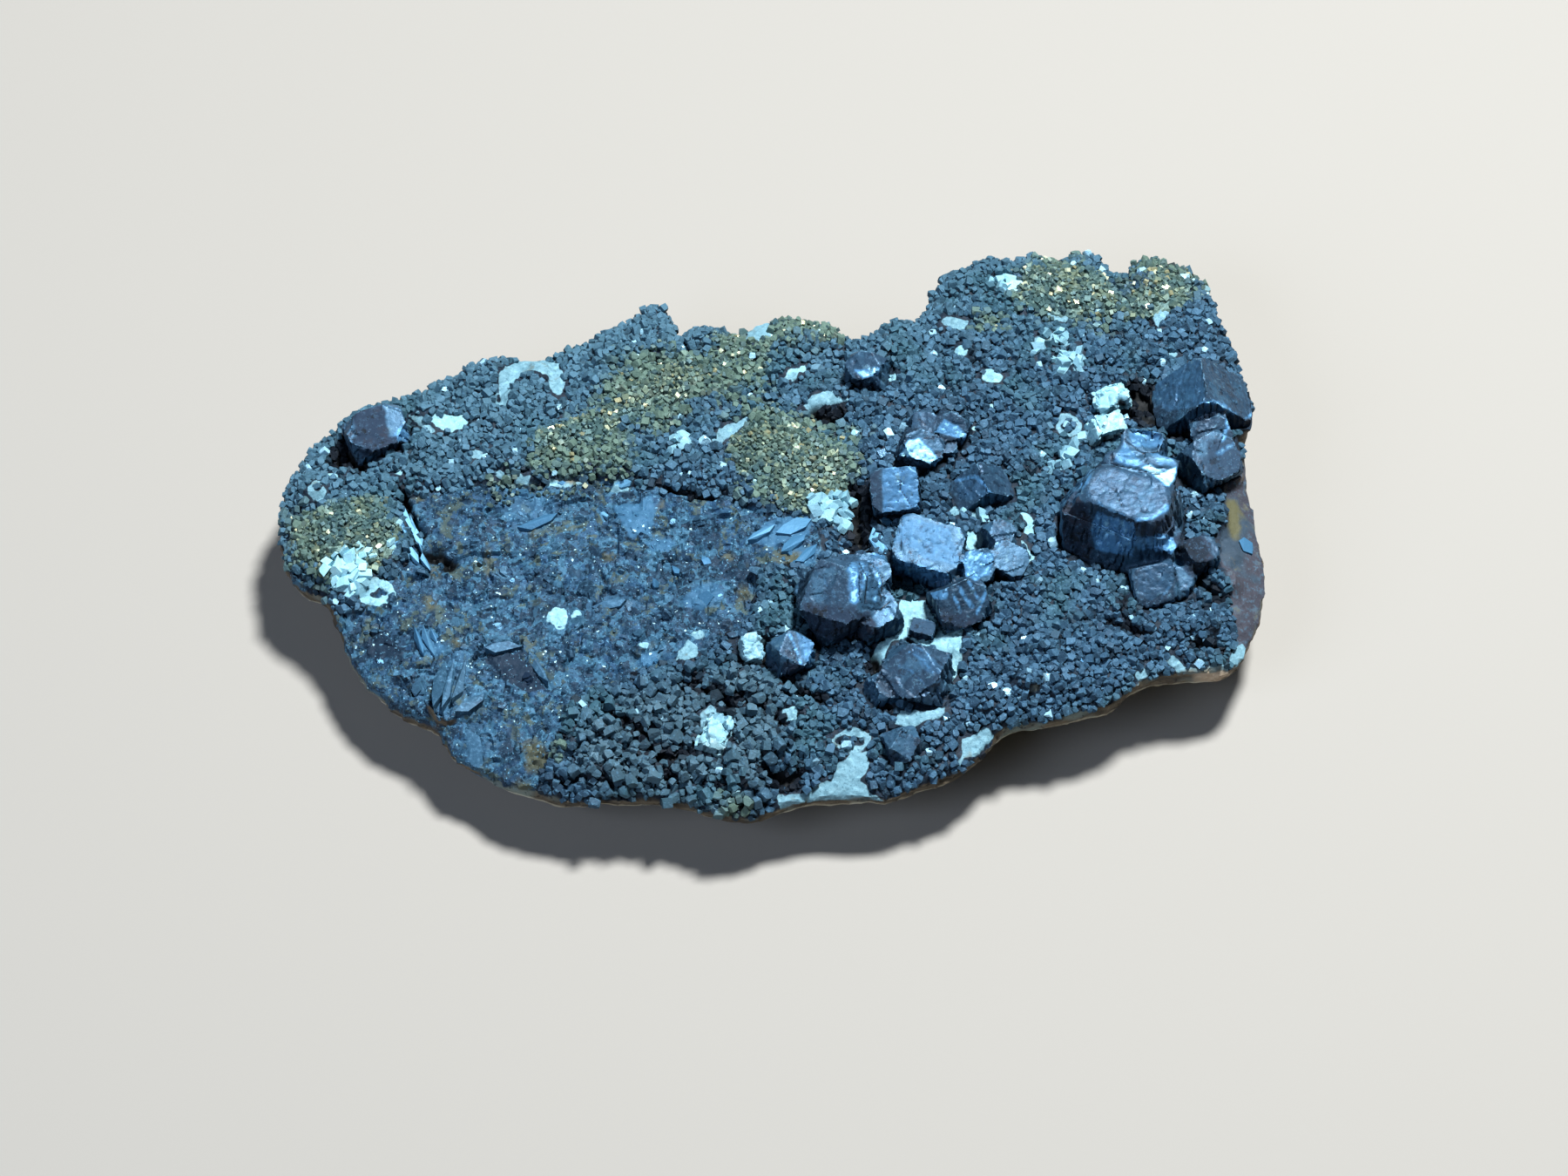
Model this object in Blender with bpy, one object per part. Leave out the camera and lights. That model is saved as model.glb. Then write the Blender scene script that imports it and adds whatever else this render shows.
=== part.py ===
# Galena with pyrite on dolomite: a cabinet specimen about 91 mm long.
# Everything below is worked out in millimetres and written to Blender in metres, +Z up.
# The origin is on the surface the specimen rests on, under the middle of its box.
# X runs along the plate, and -Y is the near side.

import math

import bmesh
import bpy
import numpy as np
from mathutils import Euler, Vector, noise
from mathutils.geometry import delaunay_2d_cdt

MM = 0.001  # metres in a millimetre
GAP = 0.3  # clearance between solids that touch
SEED = 41
MIDDLE = (-0.14, 1.5)  # middle of the specimen's box in the layout below, which becomes the origin

CREST = 10.0  # height of the middle of the druse above the resting surface
# How the druse falls away from the crest: direction, where the fall starts, the distance over
# which it falls, how far it falls, and the power of the curve.
FALLS = [
    ((-1, 0), 10, 35, 1.1, 2),
    ((1, 0), 35, 10, 1.5, 2),
    ((0, -1), 6, 26, 2.9, 1.6),
    ((0, 1), 15, 17, 0.5, 2),
]
RIM_STEP = 1.6  # longest stretch of rim between two points
SHOULDER_DROP = 1.3  # how far the druse rounds down at the rim
SHOULDER_WIDTH = 1.4
RIM_FOOT = 5.5  # height of the lower edge of the rim, half way along Y
RIM_FOOT_RISE = 0.03  # and how much it rises for each millimetre towards the far side
RIM_UNDERCUT = 1.0  # how far the lower edge lies inside the upper one
RIM_WAIST = 0.45  # where the rim's middle line lies between its two edges
LEDGE = 1.1  # how much lower the massive galena lies than the druse
LEDGE_STEP = 1.8
LEDGE_TOP = 0.12  # where the ledge's upper and lower lines lie, outwards from its outline
LEDGE_FOOT = -0.5
LUMP = 0.32  # height of the druse's lumps
FILL_STEP = 2.3  # spacing of the points between the grains

# Bumps of each kind of roughness: distance between them, and the noise layer they are read from.
ROUGHNESS = {
    "lumps": (3.1, 2.5),
    "fine lumps": (1.4, 7.5),
    "waist": (2.6, 12.5),
    "rim foot": (4.0, 15.5),
    "underside": (5.0, 21.5),
    "crust": (1.7, 31.5),
}

FOOT_CENTRE = (0.5, -0.5)
FOOT_REACH = (19.0, 11.0)
FOOT_CORNERS = 28
UNDERSIDE_STEP = 3.4
UNDERSIDE_ROUGH = 0.55
UNDERSIDE_LOWEST = 0.25  # only the foot is lower than this

CRUST_SINK = 0.8  # how deep a pyrite crust is seated
CRUST_RISE = 0.75
CRUST_LUMP = 0.3
CRUST_STEP = 1.7

GRAIN_COUNT = 105
GRAIN_TRIES = 6000
GRAIN_SPACING = 3.3
GRAIN_APRON = 0.35  # width of the steep side round a grain's flat top
# Least and greatest half side, stretch, turn, lift, and tilt in X and Y.
GRAIN_LEAST = (0.75, 0.8, 0, 0.45, -0.25, -0.25)
GRAIN_MOST = (1.15, 1.2, 90, 0.95, 0.25, 0.15)
# How far a grain stays from the rim, the massive galena, the crusts, the pits and the crystals.
GRAIN_CLEAR = {"rim": 2.4, "massive": 1.9, "crust": 2.1, "pit": 1.2, "crystal": 1.3}

WELD = 1e-4  # points nearer than this are one
INSIDE = 0.02  # how near a flat top's outline a point still counts as on it

# The plate's outline seen from above, from the left tip round the far side.
RIM = [
    (-45.7, 4.6), (-43.7, 8.6), (-41.4, 12.0), (-38.8, 14.7), (-34.9, 16.0),
    (-32.3, 17.2), (-29.6, 19.3), (-25.2, 20.7), (-21.0, 20.6), (-17.0, 23.1),
    (-13.7, 24.8), (-11.7, 26.9), (-10.4, 27.0), (-9.2, 24.1), (-8.8, 22.2),
    (-7.9, 24.0), (-5.6, 23.9), (-3.0, 23.4), (-0.9, 25.1), (3.2, 24.9),
    (5.6, 24.5), (7.4, 22.5), (9.2, 23.2), (10.8, 24.9), (13.4, 25.1),
    (14.7, 27.6), (15.8, 30.1), (19.7, 32.4), (21.3, 33.1), (23.3, 32.5),
    (24.9, 33.9), (27.0, 32.4), (29.2, 33.8), (31.4, 33.0), (32.9, 30.1),
    (34.4, 32.7), (37.0, 32.9), (40.9, 30.4), (42.2, 26.1), (43.5, 22.4),
    (44.4, 18.4), (45.3, 15.0), (44.2, 11.0), (44.5, 4.8), (45.1, 1.0),
    (45.6, -4.5), (44.4, -10.4), (42.5, -14.6), (39.5, -15.6), (36.1, -16.0),
    (33.6, -17.0), (30.7, -19.3), (26.1, -20.4), (21.8, -21.5), (19.4, -24.0),
    (16.4, -26.6), (12.2, -27.8), (10.0, -29.1), (5.7, -28.7), (0.7, -29.9),
    (-2.8, -30.9), (-6.8, -30.0), (-8.6, -29.2), (-16.6, -29.0), (-21.6, -28.2),
    (-26.1, -26.3), (-29.2, -24.0), (-30.9, -20.9), (-33.7, -19.6), (-37.2, -16.2),
    (-39.9, -10.6), (-41.4, -7.0), (-43.2, -6.4), (-44.8, -4.4), (-45.7, -0.2),
]

# The broken, massive galena of the lower left. Its near side runs off the plate.
MASSIVE = [
    (-36.6, 4.7), (-29.4, 4.9), (-23.0, 5.3), (-15.8, 6.2), (-9.4, 4.3),
    (-3.0, 3.4), (-0.6, 0.6), (-3.0, -3.3), (-1.4, -8.3), (-3.0, -11.3),
    (-7.8, -14.3), (-12.2, -16.5), (-16.6, -18.0), (-19.8, -21.0), (-23.0, -24.5),
    (-25.5, -31.0), (-36.0, -26.0), (-44.0, -13.0), (-39.5, -8.5), (-35.6, -5.0),
    (-33.2, -1.2), (-34.2, 2.0),
]

# Pits and hollows: centre, radius, depth.
PITS = [
    ((-38.9, 7.4), 1.5, 1.5),
    ((-30.7, -3.7), 1.6, 1.3),
    ((6.3, 18.4), 1.5, 1.3),
    ((-18.5, 17.0), 1.4, 0.9),
    ((27.6, 8.6), 1.3, 1.1),
    ((-6.0, -19.0), 1.3, 0.8),
]

# Cleavage blocks standing in the massive galena: centre, half sides, turn, lift, tilt in X and Y.
CLEAVAGE = [
    ((-31.8, 1.4), (2.9, 1.5), 12, 0.9, (0.10, -0.16)),
    ((-25.6, 2.2), (2.7, 1.7), -8, 1.0, (-0.12, -0.10)),
    ((-19.0, 2.4), (2.2, 1.5), 20, 0.7, (0.14, -0.12)),
    ((-11.8, 1.2), (2.6, 1.7), -6, 1.0, (-0.06, -0.18)),
    ((-4.6, -0.6), (2.5, 1.9), 14, 1.1, (0.10, -0.14)),
    ((-26.8, -4.2), (2.6, 1.8), 28, 0.6, (0.16, -0.10)),
    ((-20.2, -5.4), (2.8, 1.6), -14, 0.8, (-0.10, -0.16)),
    ((-13.2, -5.0), (2.4, 1.9), 8, 0.6, (0.12, -0.12)),
    ((-6.4, -6.6), (2.6, 1.9), -22, 0.8, (0.04, -0.20)),
    ((-32.6, -9.4), (2.4, 1.8), 38, 0.8, (0.14, -0.12)),
    ((-25.8, -11.4), (2.8, 1.9), 16, 0.6, (-0.12, -0.12)),
    ((-18.0, -12.2), (2.6, 1.8), -10, 0.8, (0.08, -0.18)),
    ((-10.6, -11.2), (2.2, 1.4), 24, 0.6, (-0.10, -0.14)),
    ((-33.4, -14.6), (2.1, 1.5), 48, 0.7, (0.12, -0.16)),
    ((-28.0, -18.4), (2.7, 1.9), 30, 0.6, (-0.08, -0.18)),
    ((-21.4, -17.8), (1.9, 1.4), 12, 0.5, (0.12, -0.10)),
]

# Pyrite crusts, seen from above.
CRUSTS = {
    "pyrite_crust_left": [
        (-43.2, 0.6), (-40.4, 2.4), (-37.4, 2.9), (-35.4, 1.2), (-34.6, -1.4),
        (-36.4, -4.6), (-38.8, -6.6), (-41.0, -5.9), (-43.4, -3.4),
    ],
    "pyrite_crust_centre": [
        (-3.7, 9.7), (-0.6, 11.8), (3.2, 10.9), (6.3, 8.0), (6.7, 4.6),
        (5.2, 1.2), (1.4, 1.4), (-2.0, 4.7), (-3.7, 6.8),
    ],
    "pyrite_crust_band": [
        (-22.4, 8.2), (-15.6, 9.8), (-11.0, 13.2), (-7.2, 15.8), (-4.2, 18.6),
        (-7.0, 19.2), (-11.6, 17.0), (-16.6, 12.8), (-21.6, 10.6),
    ],
    "pyrite_crust_far": [
        (23.0, 30.2), (26.6, 30.6), (30.4, 30.0), (33.0, 27.6), (35.8, 30.2),
        (38.6, 29.0), (39.2, 26.4), (36.4, 25.0), (31.6, 24.0), (26.6, 24.6),
        (23.0, 26.8),
    ],
}

# Colours from the photograph, as sRGB hex, with metallic and roughness.
FINISHES = {
    "druse": ("#46586a", 0.0, 0.55),
    "galena": ("#5a7290", 0.7, 0.35),
    "pyrite": ("#8a8450", 0.7, 0.45),
    "pale": ("#cfe0d4", 0.0, 0.7),
}


def block(at, half, turn=(0, 0, 0), corner=1.0, faces=(), sink=1.3):
    """One crystal: a cube-like block about `at`. `corner` is how much of the way to its corners
    the octahedral faces lie, `faces` are further sides as (azimuth, lean, reach), and `sink`
    is how deep its flat seat lies in the plate."""
    return {"at": at, "half": half, "turn": turn, "corner": corner, "faces": faces, "sink": sink}


CRYSTALS = {
    "galena_cluster_right": [
        block((32.4, -1.2, 12.6), (5.9, 5.2, 3.9), (0, 0, 0), 1.0, [
            (-10, 8, 4.4), (73, 12, 2.8), (150, 24, 3.9), (185, 27, 5.2),
            (242, 14, 2.7), (275, 5, 3.7), (325, 8, 4.6), (168, 52, 5.0),
        ], 1.8),
        block((35.6, -3.6, 11.4), (1.9, 1.6, 1.4), (0, 0, -18), 0.86),
        block((35.0, -7.0, 9.7), (2.1, 2.0, 2.0), (34, -6, 10), 0.86, (), 1.1),
        block((39.0, -4.4, 10.3), (1.7, 1.5, 2.1), (12, 10, 26), 0.82, (), 1.2),
        block((37.2, -6.6, 9.6), (1.6, 1.3, 1.5), (20, 6, -24), 0.8, (), 1.1),
        block((34.4, 6.7, 12.3), (1.9, 1.5, 2.3), (18, -10, -14), 0.86),
        block((34.9, 4.2, 12.1), (2.5, 1.5, 2.0), (24, 8, -8), 0.88),
        block((31.9, 4.6, 12.3), (1.5, 1.4, 1.9), (10, -22, 30), 0.72),
    ],
    "galena_cluster_edge": [
        block((40.1, 14.0, 9.6), (3.3, 2.8, 3.3), (0, 45, 7), 0.9, (), 1.2),
        block((40.4, 6.6, 10.2), (2.5, 2.3, 2.3), (22, 8, 38), 0.8, (), 1.2),
        block((40.9, 10.1, 9.9), (1.9, 1.7, 1.5), (28, -10, 12), 0.86, (), 1.2),
    ],
    "galena_cluster_centre": [
        block((14.2, -4.9, 11.6), (3.2, 2.5, 2.6), (12, 6, -16), 0.88),
        block((18.4, -6.2, 11.3), (1.6, 1.6, 1.8), (34, 10, 20), 0.8),
        block((20.6, -2.7, 11.2), (1.4, 1.4, 1.6), (20, 14, 32), 0.74),
        block((21.4, -5.0, 10.6), (1.9, 1.6, 1.5), (14, 22, -20), 0.82),
        block((17.1, -9.9, 10.9), (2.5, 2.1, 2.2), (40, -6, 24), 0.78),
    ],
    "galena_crystal_centre_back": [
        block((11.4, 2.6, 11.1), (2.3, 2.1, 2.8), (30, -6, 4), 0.88),
    ],
    "galena_octahedron_front": [
        block((6.4, -10.3, 11.9), (3.8, 3.4, 3.3), (16, -22, 18), 0.66, (), 1.6),
        block((9.4, -11.8, 11.3), (2.0, 1.9, 2.2), (12, -6, 30), 0.8),
        block((8.8, -8.4, 12.9), (1.9, 1.8, 1.6), (20, 6, 14), 0.74),
    ],
    "galena_crystal_back_trio": [
        block((13.7, 7.5, 11.4), (2.0, 1.5, 1.8), (24, 18, -12), 0.78),
        block((16.6, 10.2, 11.2), (1.7, 1.3, 1.6), (30, 14, -22), 0.76),
        block((14.3, 10.2, 11.2), (1.4, 1.5, 1.5), (12, -20, 30), 0.72),
        block((15.2, 8.4, 10.6), (1.8, 1.4, 1.2), (10, 6, 10), 0.84),
    ],
    "galena_crystal_ridge": [
        block((19.3, 3.5, 10.3), (2.1, 1.8, 2.1), (14, 42, 30), 0.92),
    ],
    "galena_crystal_low_left": [
        block((1.6, -15.3, 10.2), (1.9, 1.8, 1.9), (22, 12, 28), 0.7),
    ],
    "galena_crystal_low_middle": [
        block((13.2, -17.4, 9.7), (2.9, 2.6, 2.4), (26, -10, -16), 0.7),
        block((10.2, -18.7, 9.2), (1.6, 1.4, 1.4), (14, 20, 26), 0.78),
    ],
    "galena_crystal_round": [
        block((11.7, -24.2, 8.4), (1.7, 1.6, 1.6), (34, 4, 20), 0.64, (), 1.1),
    ],
    "galena_crystal_tablet": [
        block((13.7, -12.3, 10.1), (1.2, 0.8, 0.9), (18, 6, -14), 0.88, (), 1.0),
    ],
    "galena_crystal_notch": [
        block((8.9, 17.2, 10.7), (1.9, 1.5, 1.9), (20, -12, -20), 0.74, (), 1.2),
    ],
    "galena_crystal_left_edge": [
        block((-36.9, 10.6, 9.6), (2.9, 2.2, 1.9), (14, -6, 22), 0.74, (), 1.1),
    ],
    "dolomite_crystal_white": [
        block((30.8, 10.4, 10.9), (1.5, 1.1, 1.6), (20, 16, 30), 0.9, (), 1.0),
    ],
    "dolomite_crystal_holed": [
        block((31.7, 14.1, 10.5), (1.6, 1.2, 1.3), (12, -14, 18), 0.84, (), 1.0),
    ],
    "dolomite_crystal_near_rim": [
        block((-5.2, -23.2, 8.6), (1.3, 1.9, 1.2), (10, 12, -22), 0.84, (), 1.0),
    ],
    "dolomite_crystal_middle": [
        block((-2.0, -14.5, 9.9), (1.0, 1.4, 1.1), (16, 10, 14), 0.84, (), 1.0),
    ],
}


def linear(hex_colour):
    """A Blender colour from an sRGB hex string."""
    parts = [int(hex_colour[i:i + 2], 16) / 255 for i in (1, 3, 5)]
    return [c / 12.92 if c < 0.04045 else ((c + 0.055) / 1.055) ** 2.4 for c in parts] + [1.0]


def finish(name):
    """The Principled material of this name, made once."""
    if name in bpy.data.materials:
        return bpy.data.materials[name]
    colour, metallic, roughness = FINISHES[name]
    material = bpy.data.materials.new(name)
    material.use_nodes = True
    shader = material.node_tree.nodes["Principled BSDF"]
    shader.inputs["Base Color"].default_value = linear(colour)
    shader.inputs["Metallic"].default_value = metallic
    shader.inputs["Roughness"].default_value = roughness
    return material


def solid(name, bm, material):
    """An object from a bmesh in millimetres."""
    bmesh.ops.recalc_face_normals(bm, faces=bm.faces)
    bmesh.ops.translate(bm, vec=(-MIDDLE[0], -MIDDLE[1], 0), verts=bm.verts)
    bmesh.ops.scale(bm, vec=(MM, MM, MM), verts=bm.verts)
    mesh = bpy.data.meshes.new(name)
    bm.to_mesh(mesh)
    bm.free()
    mesh.materials.append(finish(material))
    made = bpy.data.objects.new(name, mesh)
    bpy.context.scene.collection.objects.link(made)
    return made


def hide_helper(helper):
    helper.hide_render = True
    helper.display_type = "WIRE"


def catmull_rom(loop, step):
    """A smooth closed curve through the loop's points, with no stretch longer than step."""
    loop = np.array(loop, float)
    points = []
    for i in range(len(loop)):
        before, start, end, after = (loop[(i + k) % len(loop)] for k in (-1, 0, 1, 2))
        count = max(1, math.ceil(np.linalg.norm(end - start) / step))
        for t in np.arange(count) / count:
            points.append(0.5 * (
                2 * start + (end - before) * t
                + (2 * before - 5 * start + 4 * end - after) * t ** 2
                + (3 * start - before - 3 * end + after) * t ** 3
            ))
    return np.array(points)


def depth_inside(points, loop):
    """How far each point lies inside a closed loop, negative outside it."""
    points = np.atleast_2d(points)
    start = np.asarray(loop, float)
    end = np.roll(start, -1, axis=0)
    side = end - start
    reach = points[:, None] - start
    along = np.clip((reach * side).sum(2) / (side * side).sum(1), 0, 1)
    away = np.linalg.norm(reach - along[..., None] * side, axis=2).min(axis=1)
    px, py = points[:, :1], points[:, 1:]
    rise = np.where(side[:, 1] == 0, 1e-9, side[:, 1])
    crossed = ((start[:, 1] > py) != (end[:, 1] > py)) & (
        px < side[:, 0] * (py - start[:, 1]) / rise + start[:, 0]
    )
    return np.where(crossed.sum(axis=1) % 2 == 1, away, -away)


def offset_loop(loop, out):
    """The loop moved outwards by `out`."""
    ahead = np.roll(loop, -1, axis=0) - np.roll(loop, 1, axis=0)
    side = np.stack([ahead[:, 1], -ahead[:, 0]], axis=1)
    side /= np.linalg.norm(side, axis=1)[:, None]
    area = np.sum(loop[:, 0] * np.roll(loop[:, 1], -1) - np.roll(loop[:, 0], -1) * loop[:, 1])
    return loop + side * out * math.copysign(1, area)


def smooth_step(value, low, high):
    t = np.clip((value - low) / (high - low), 0, 1)
    return t * t * (3 - 2 * t)


def roughen(points, kind):
    """Smooth noise between about -1 and 1 over the plate."""
    wave, layer = ROUGHNESS[kind]
    return np.array([noise.noise((x / wave, y / wave, layer)) * 1.6 for x, y in points])


rim = catmull_rom(RIM, RIM_STEP)
crust_loops = {name: catmull_rom(loop, CRUST_STEP) for name, loop in CRUSTS.items()}


def bed(points):
    """The gently domed surface that the druse grows on."""
    height = np.full(len(points), CREST)
    for direction, start, reach, drop, power in FALLS:
        out = points @ np.array(direction) - start
        height -= drop * (np.maximum(0, out) / reach) ** power
    return height


def footprint_clear(point, margin):
    """Whether a point is clear of every crystal by the margin."""
    for blocks in CRYSTALS.values():
        for one in blocks:
            reach = 1.15 * max(one["half"][:2]) + margin
            if math.hypot(point[0] - one["at"][0], point[1] - one["at"][1]) < reach:
                return False
    return True


def flat_outline(centre, half, turn, apron=0.0):
    """The outline of a raised block: four to six corners at uneven distances."""
    mark = 12.9 * centre[0] + 7.1 * centre[1]
    sides = 4 + int(abs(mark)) % 3
    outline = []
    for k in range(sides):
        angle = math.tau * (k + 0.5) / sides
        reach = 1.24 + 0.16 * math.sin(5 * k + mark)
        x = (half[0] * reach + apron * 1.2) * math.cos(angle)
        y = (half[1] * reach + apron * 1.2) * math.sin(angle)
        c, s = math.cos(math.radians(turn)), math.sin(math.radians(turn))
        outline.append((centre[0] + c * x - s * y, centre[1] + s * x + c * y))
    return np.array(outline)


def grow_grains(rng):
    """The larger blocky grains of the druse, as (centre, half sides, turn, lift, tilt)."""
    grains = []
    low, high = rim.min(axis=0), rim.max(axis=0)
    for _ in range(GRAIN_TRIES):
        if len(grains) == GRAIN_COUNT:
            break
        at = rng.uniform(low, high)
        side, stretch, turn, lift, tilt_x, tilt_y = rng.uniform(GRAIN_LEAST, GRAIN_MOST)
        off = GRAIN_CLEAR
        clear = (
            depth_inside(at, rim)[0] > off["rim"]
            and depth_inside(at, MASSIVE)[0] < -off["massive"]
            and all(depth_inside(at, loop)[0] < -off["crust"] for loop in crust_loops.values())
            and all(math.dist(at, grain[0]) > GRAIN_SPACING for grain in grains)
            and all(math.dist(at, pit[0]) > pit[1] + off["pit"] for pit in PITS)
            and footprint_clear(at, off["crystal"])
        )
        if clear:
            grains.append((tuple(at), (side, side * stretch), turn, lift, (tilt_x, tilt_y)))
    return grains


grains = grow_grains(np.random.default_rng(SEED))
raised = grains + CLEAVAGE


def druse_height(points):
    """The plate's top surface: bed, lumps, ledge, pits, shoulder, and the flat tops of grains."""
    edge = depth_inside(points, rim)
    massive = smooth_step(depth_inside(points, MASSIVE), -LEDGE_TOP, -LEDGE_FOOT)
    height = bed(points)
    height += LUMP * roughen(points, "lumps") * (1 - 0.3 * massive)
    height += 0.5 * LUMP * roughen(points, "fine lumps")
    height -= LEDGE * massive
    for centre, radius, depth in PITS:
        away = np.linalg.norm(points - centre, axis=1)
        height -= depth * (1 - smooth_step(away, 0.45 * radius, radius))
    height -= SHOULDER_DROP * np.exp(-np.maximum(edge, 0) / SHOULDER_WIDTH)
    for loop in crust_loops.values():
        floor = bed(points) - CRUST_SINK - GAP
        inside = depth_inside(points, loop) > -GAP - INSIDE
        height = np.where(inside, floor, height)
    for centre, half, turn, lift, tilt in raised:
        inside = depth_inside(points, flat_outline(centre, half, turn)) > -INSIDE
        if inside.any():
            middle = bed(np.array([centre]))[0] - LEDGE * (depth_inside(centre, MASSIVE)[0] > 0)
            flat = middle + lift + (points - centre) @ np.array(tilt)
            height = np.where(inside, flat, height)
    return height


def fill_points(inside_of, keep_off, step, rng):
    """Jittered points inside a loop, off the loops in keep_off."""
    low, high = inside_of.min(axis=0), inside_of.max(axis=0)
    rows = np.arange(low[1], high[1], step * 0.87)
    found = []
    for k, y in enumerate(rows):
        for x in np.arange(low[0] + (k % 2) * step / 2, high[0], step):
            found.append((x, y))
    found = np.array(found) + rng.uniform(-0.28 * step, 0.28 * step, (len(found), 2))
    keep = depth_inside(found, inside_of) > 0.42 * step
    for loop in keep_off:
        keep &= depth_inside(found, loop) < -0.3 * step
    return found[keep]


def sheet(outer, rings, lines, loose):
    """Triangles over the area inside `outer`, whose points come first, in order."""
    points = [outer]
    edges = [(i, (i + 1) % len(outer)) for i in range(len(outer))]
    count = len(outer)
    for ring in rings:
        points.append(ring)
        edges += [(count + i, count + (i + 1) % len(ring)) for i in range(len(ring))]
        count += len(ring)
    for line in lines:
        points.append(line)
        edges += [(count + i, count + i + 1) for i in range(len(line) - 1)]
        count += len(line)
    points = [Vector(p) for p in np.concatenate(points + [loose])]
    placed, _, faces, origins, _, _ = delaunay_2d_cdt(points, edges, [], 1, WELD)
    order = {}
    for new, olds in enumerate(origins):
        for old in olds:
            order[old] = new
    return np.array([tuple(p) for p in placed]), faces, [order[i] for i in range(len(outer))]


def ledge_lines():
    """The top and foot of the ledge round the massive galena, where it lies on the plate."""
    around = catmull_rom(MASSIVE, LEDGE_STEP)
    lines = []
    for out in (LEDGE_TOP, LEDGE_FOOT):
        run = []
        for point in offset_loop(around, out):
            clear = depth_inside(point, rim)[0] > LEDGE_STEP and all(
                depth_inside(point, loop)[0] < -3 * GAP for loop in crust_loops.values()
            )
            if clear:
                run.append(point)
            elif run:
                lines.append(np.array(run))
                run = []
        if run:
            lines.append(np.array(run))
    return [line for line in lines if len(line) > 1]


def underside_rim(points):
    return RIM_FOOT + RIM_FOOT_RISE * points[:, 1]


def foot_loop():
    """The small flat spot that the specimen rests on."""
    angles = np.arange(FOOT_CORNERS) * math.tau / FOOT_CORNERS
    swell = 1 + 0.07 * np.sin(3 * angles + 0.7) + 0.05 * np.sin(5 * angles)
    return np.stack([
        FOOT_CENTRE[0] + FOOT_REACH[0] * swell * np.cos(angles),
        FOOT_CENTRE[1] + FOOT_REACH[1] * swell * np.sin(angles),
    ], axis=1)


def add_points(bm, points, heights):
    return [bm.verts.new((x, y, z)) for (x, y), z in zip(points, heights)]


def bridge(bm, upper, lower):
    count = len(upper)
    for i in range(count):
        j = (i + 1) % count
        bm.faces.new((upper[i], upper[j], lower[j], lower[i]))


def make_plate():
    """The dolomite plate with its druse, one closed body."""
    rng = np.random.default_rng(SEED + 1)
    rings = []
    for centre, half, turn, _, _ in raised:
        rings.append(flat_outline(centre, half, turn))
        rings.append(flat_outline(centre, half, turn, GRAIN_APRON))
    for loop in crust_loops.values():
        rings.append(offset_loop(loop, GAP))
        rings.append(offset_loop(loop, GAP + 0.12))
    loose = fill_points(rim, rings, FILL_STEP, rng)
    placed, faces, edge = sheet(rim, rings, ledge_lines(), loose)
    bm = bmesh.new()
    top = add_points(bm, placed, druse_height(placed))
    for face in faces:
        bm.faces.new([top[i] for i in face])
    upper = [top[i] for i in edge]

    outward = offset_loop(rim, 1) - rim
    waist = rim + outward * (0.45 * roughen(rim, "waist") - 0.25 * RIM_UNDERCUT)[:, None]
    foot_of_rim = rim + outward * (0.35 * roughen(rim, "rim foot") - RIM_UNDERCUT)[:, None]
    top_of_rim = np.array([vert.co.z for vert in upper])
    low = underside_rim(rim)
    middle = add_points(bm, waist, low + RIM_WAIST * (top_of_rim - low))

    foot = foot_loop()
    loose = fill_points(foot_of_rim, [foot], UNDERSIDE_STEP, rng)
    placed, faces, edge = sheet(foot_of_rim, [foot], [], loose)
    from_foot = np.maximum(0, -depth_inside(placed, foot) - INSIDE)
    from_edge = np.maximum(0, depth_inside(placed, foot_of_rim))
    part_way = from_foot / (from_foot + from_edge + WELD)
    bowl = underside_rim(placed) * part_way ** 0.8
    fade = np.minimum(1, 4 * part_way * (1 - part_way))
    hollow = np.maximum(bowl + UNDERSIDE_ROUGH * fade * roughen(placed, "underside"), UNDERSIDE_LOWEST)
    under = add_points(bm, placed, np.where(from_foot > 0, hollow, 0))
    for face in faces:
        bm.faces.new([under[i] for i in reversed(face)])
    lower = [under[i] for i in edge]
    bridge(bm, upper, middle)
    bridge(bm, middle, lower)
    return solid("matrix_plate", bm, "druse")


def make_crust(name, loop):
    """A thin mound of pyrite seated in its recess."""
    rng = np.random.default_rng(SEED + len(name))
    loose = fill_points(loop, [], CRUST_STEP, rng)
    placed, faces, edge = sheet(loop, [], [], loose)
    inside = np.maximum(0, depth_inside(placed, loop))
    crown = CRUST_RISE * smooth_step(inside, -0.4, 2.2)
    lumps = CRUST_LUMP * roughen(placed, "crust") * smooth_step(inside, -0.2, 1.2)
    bm = bmesh.new()
    top = add_points(bm, placed, bed(placed) + crown + lumps)
    low = add_points(bm, placed, bed(placed) - CRUST_SINK)
    for face in faces:
        bm.faces.new([top[i] for i in face])
        bm.faces.new([low[i] for i in reversed(face)])
    bridge(bm, [top[i] for i in edge], [low[i] for i in edge])
    return solid(name, bm, "pyrite")


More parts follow.
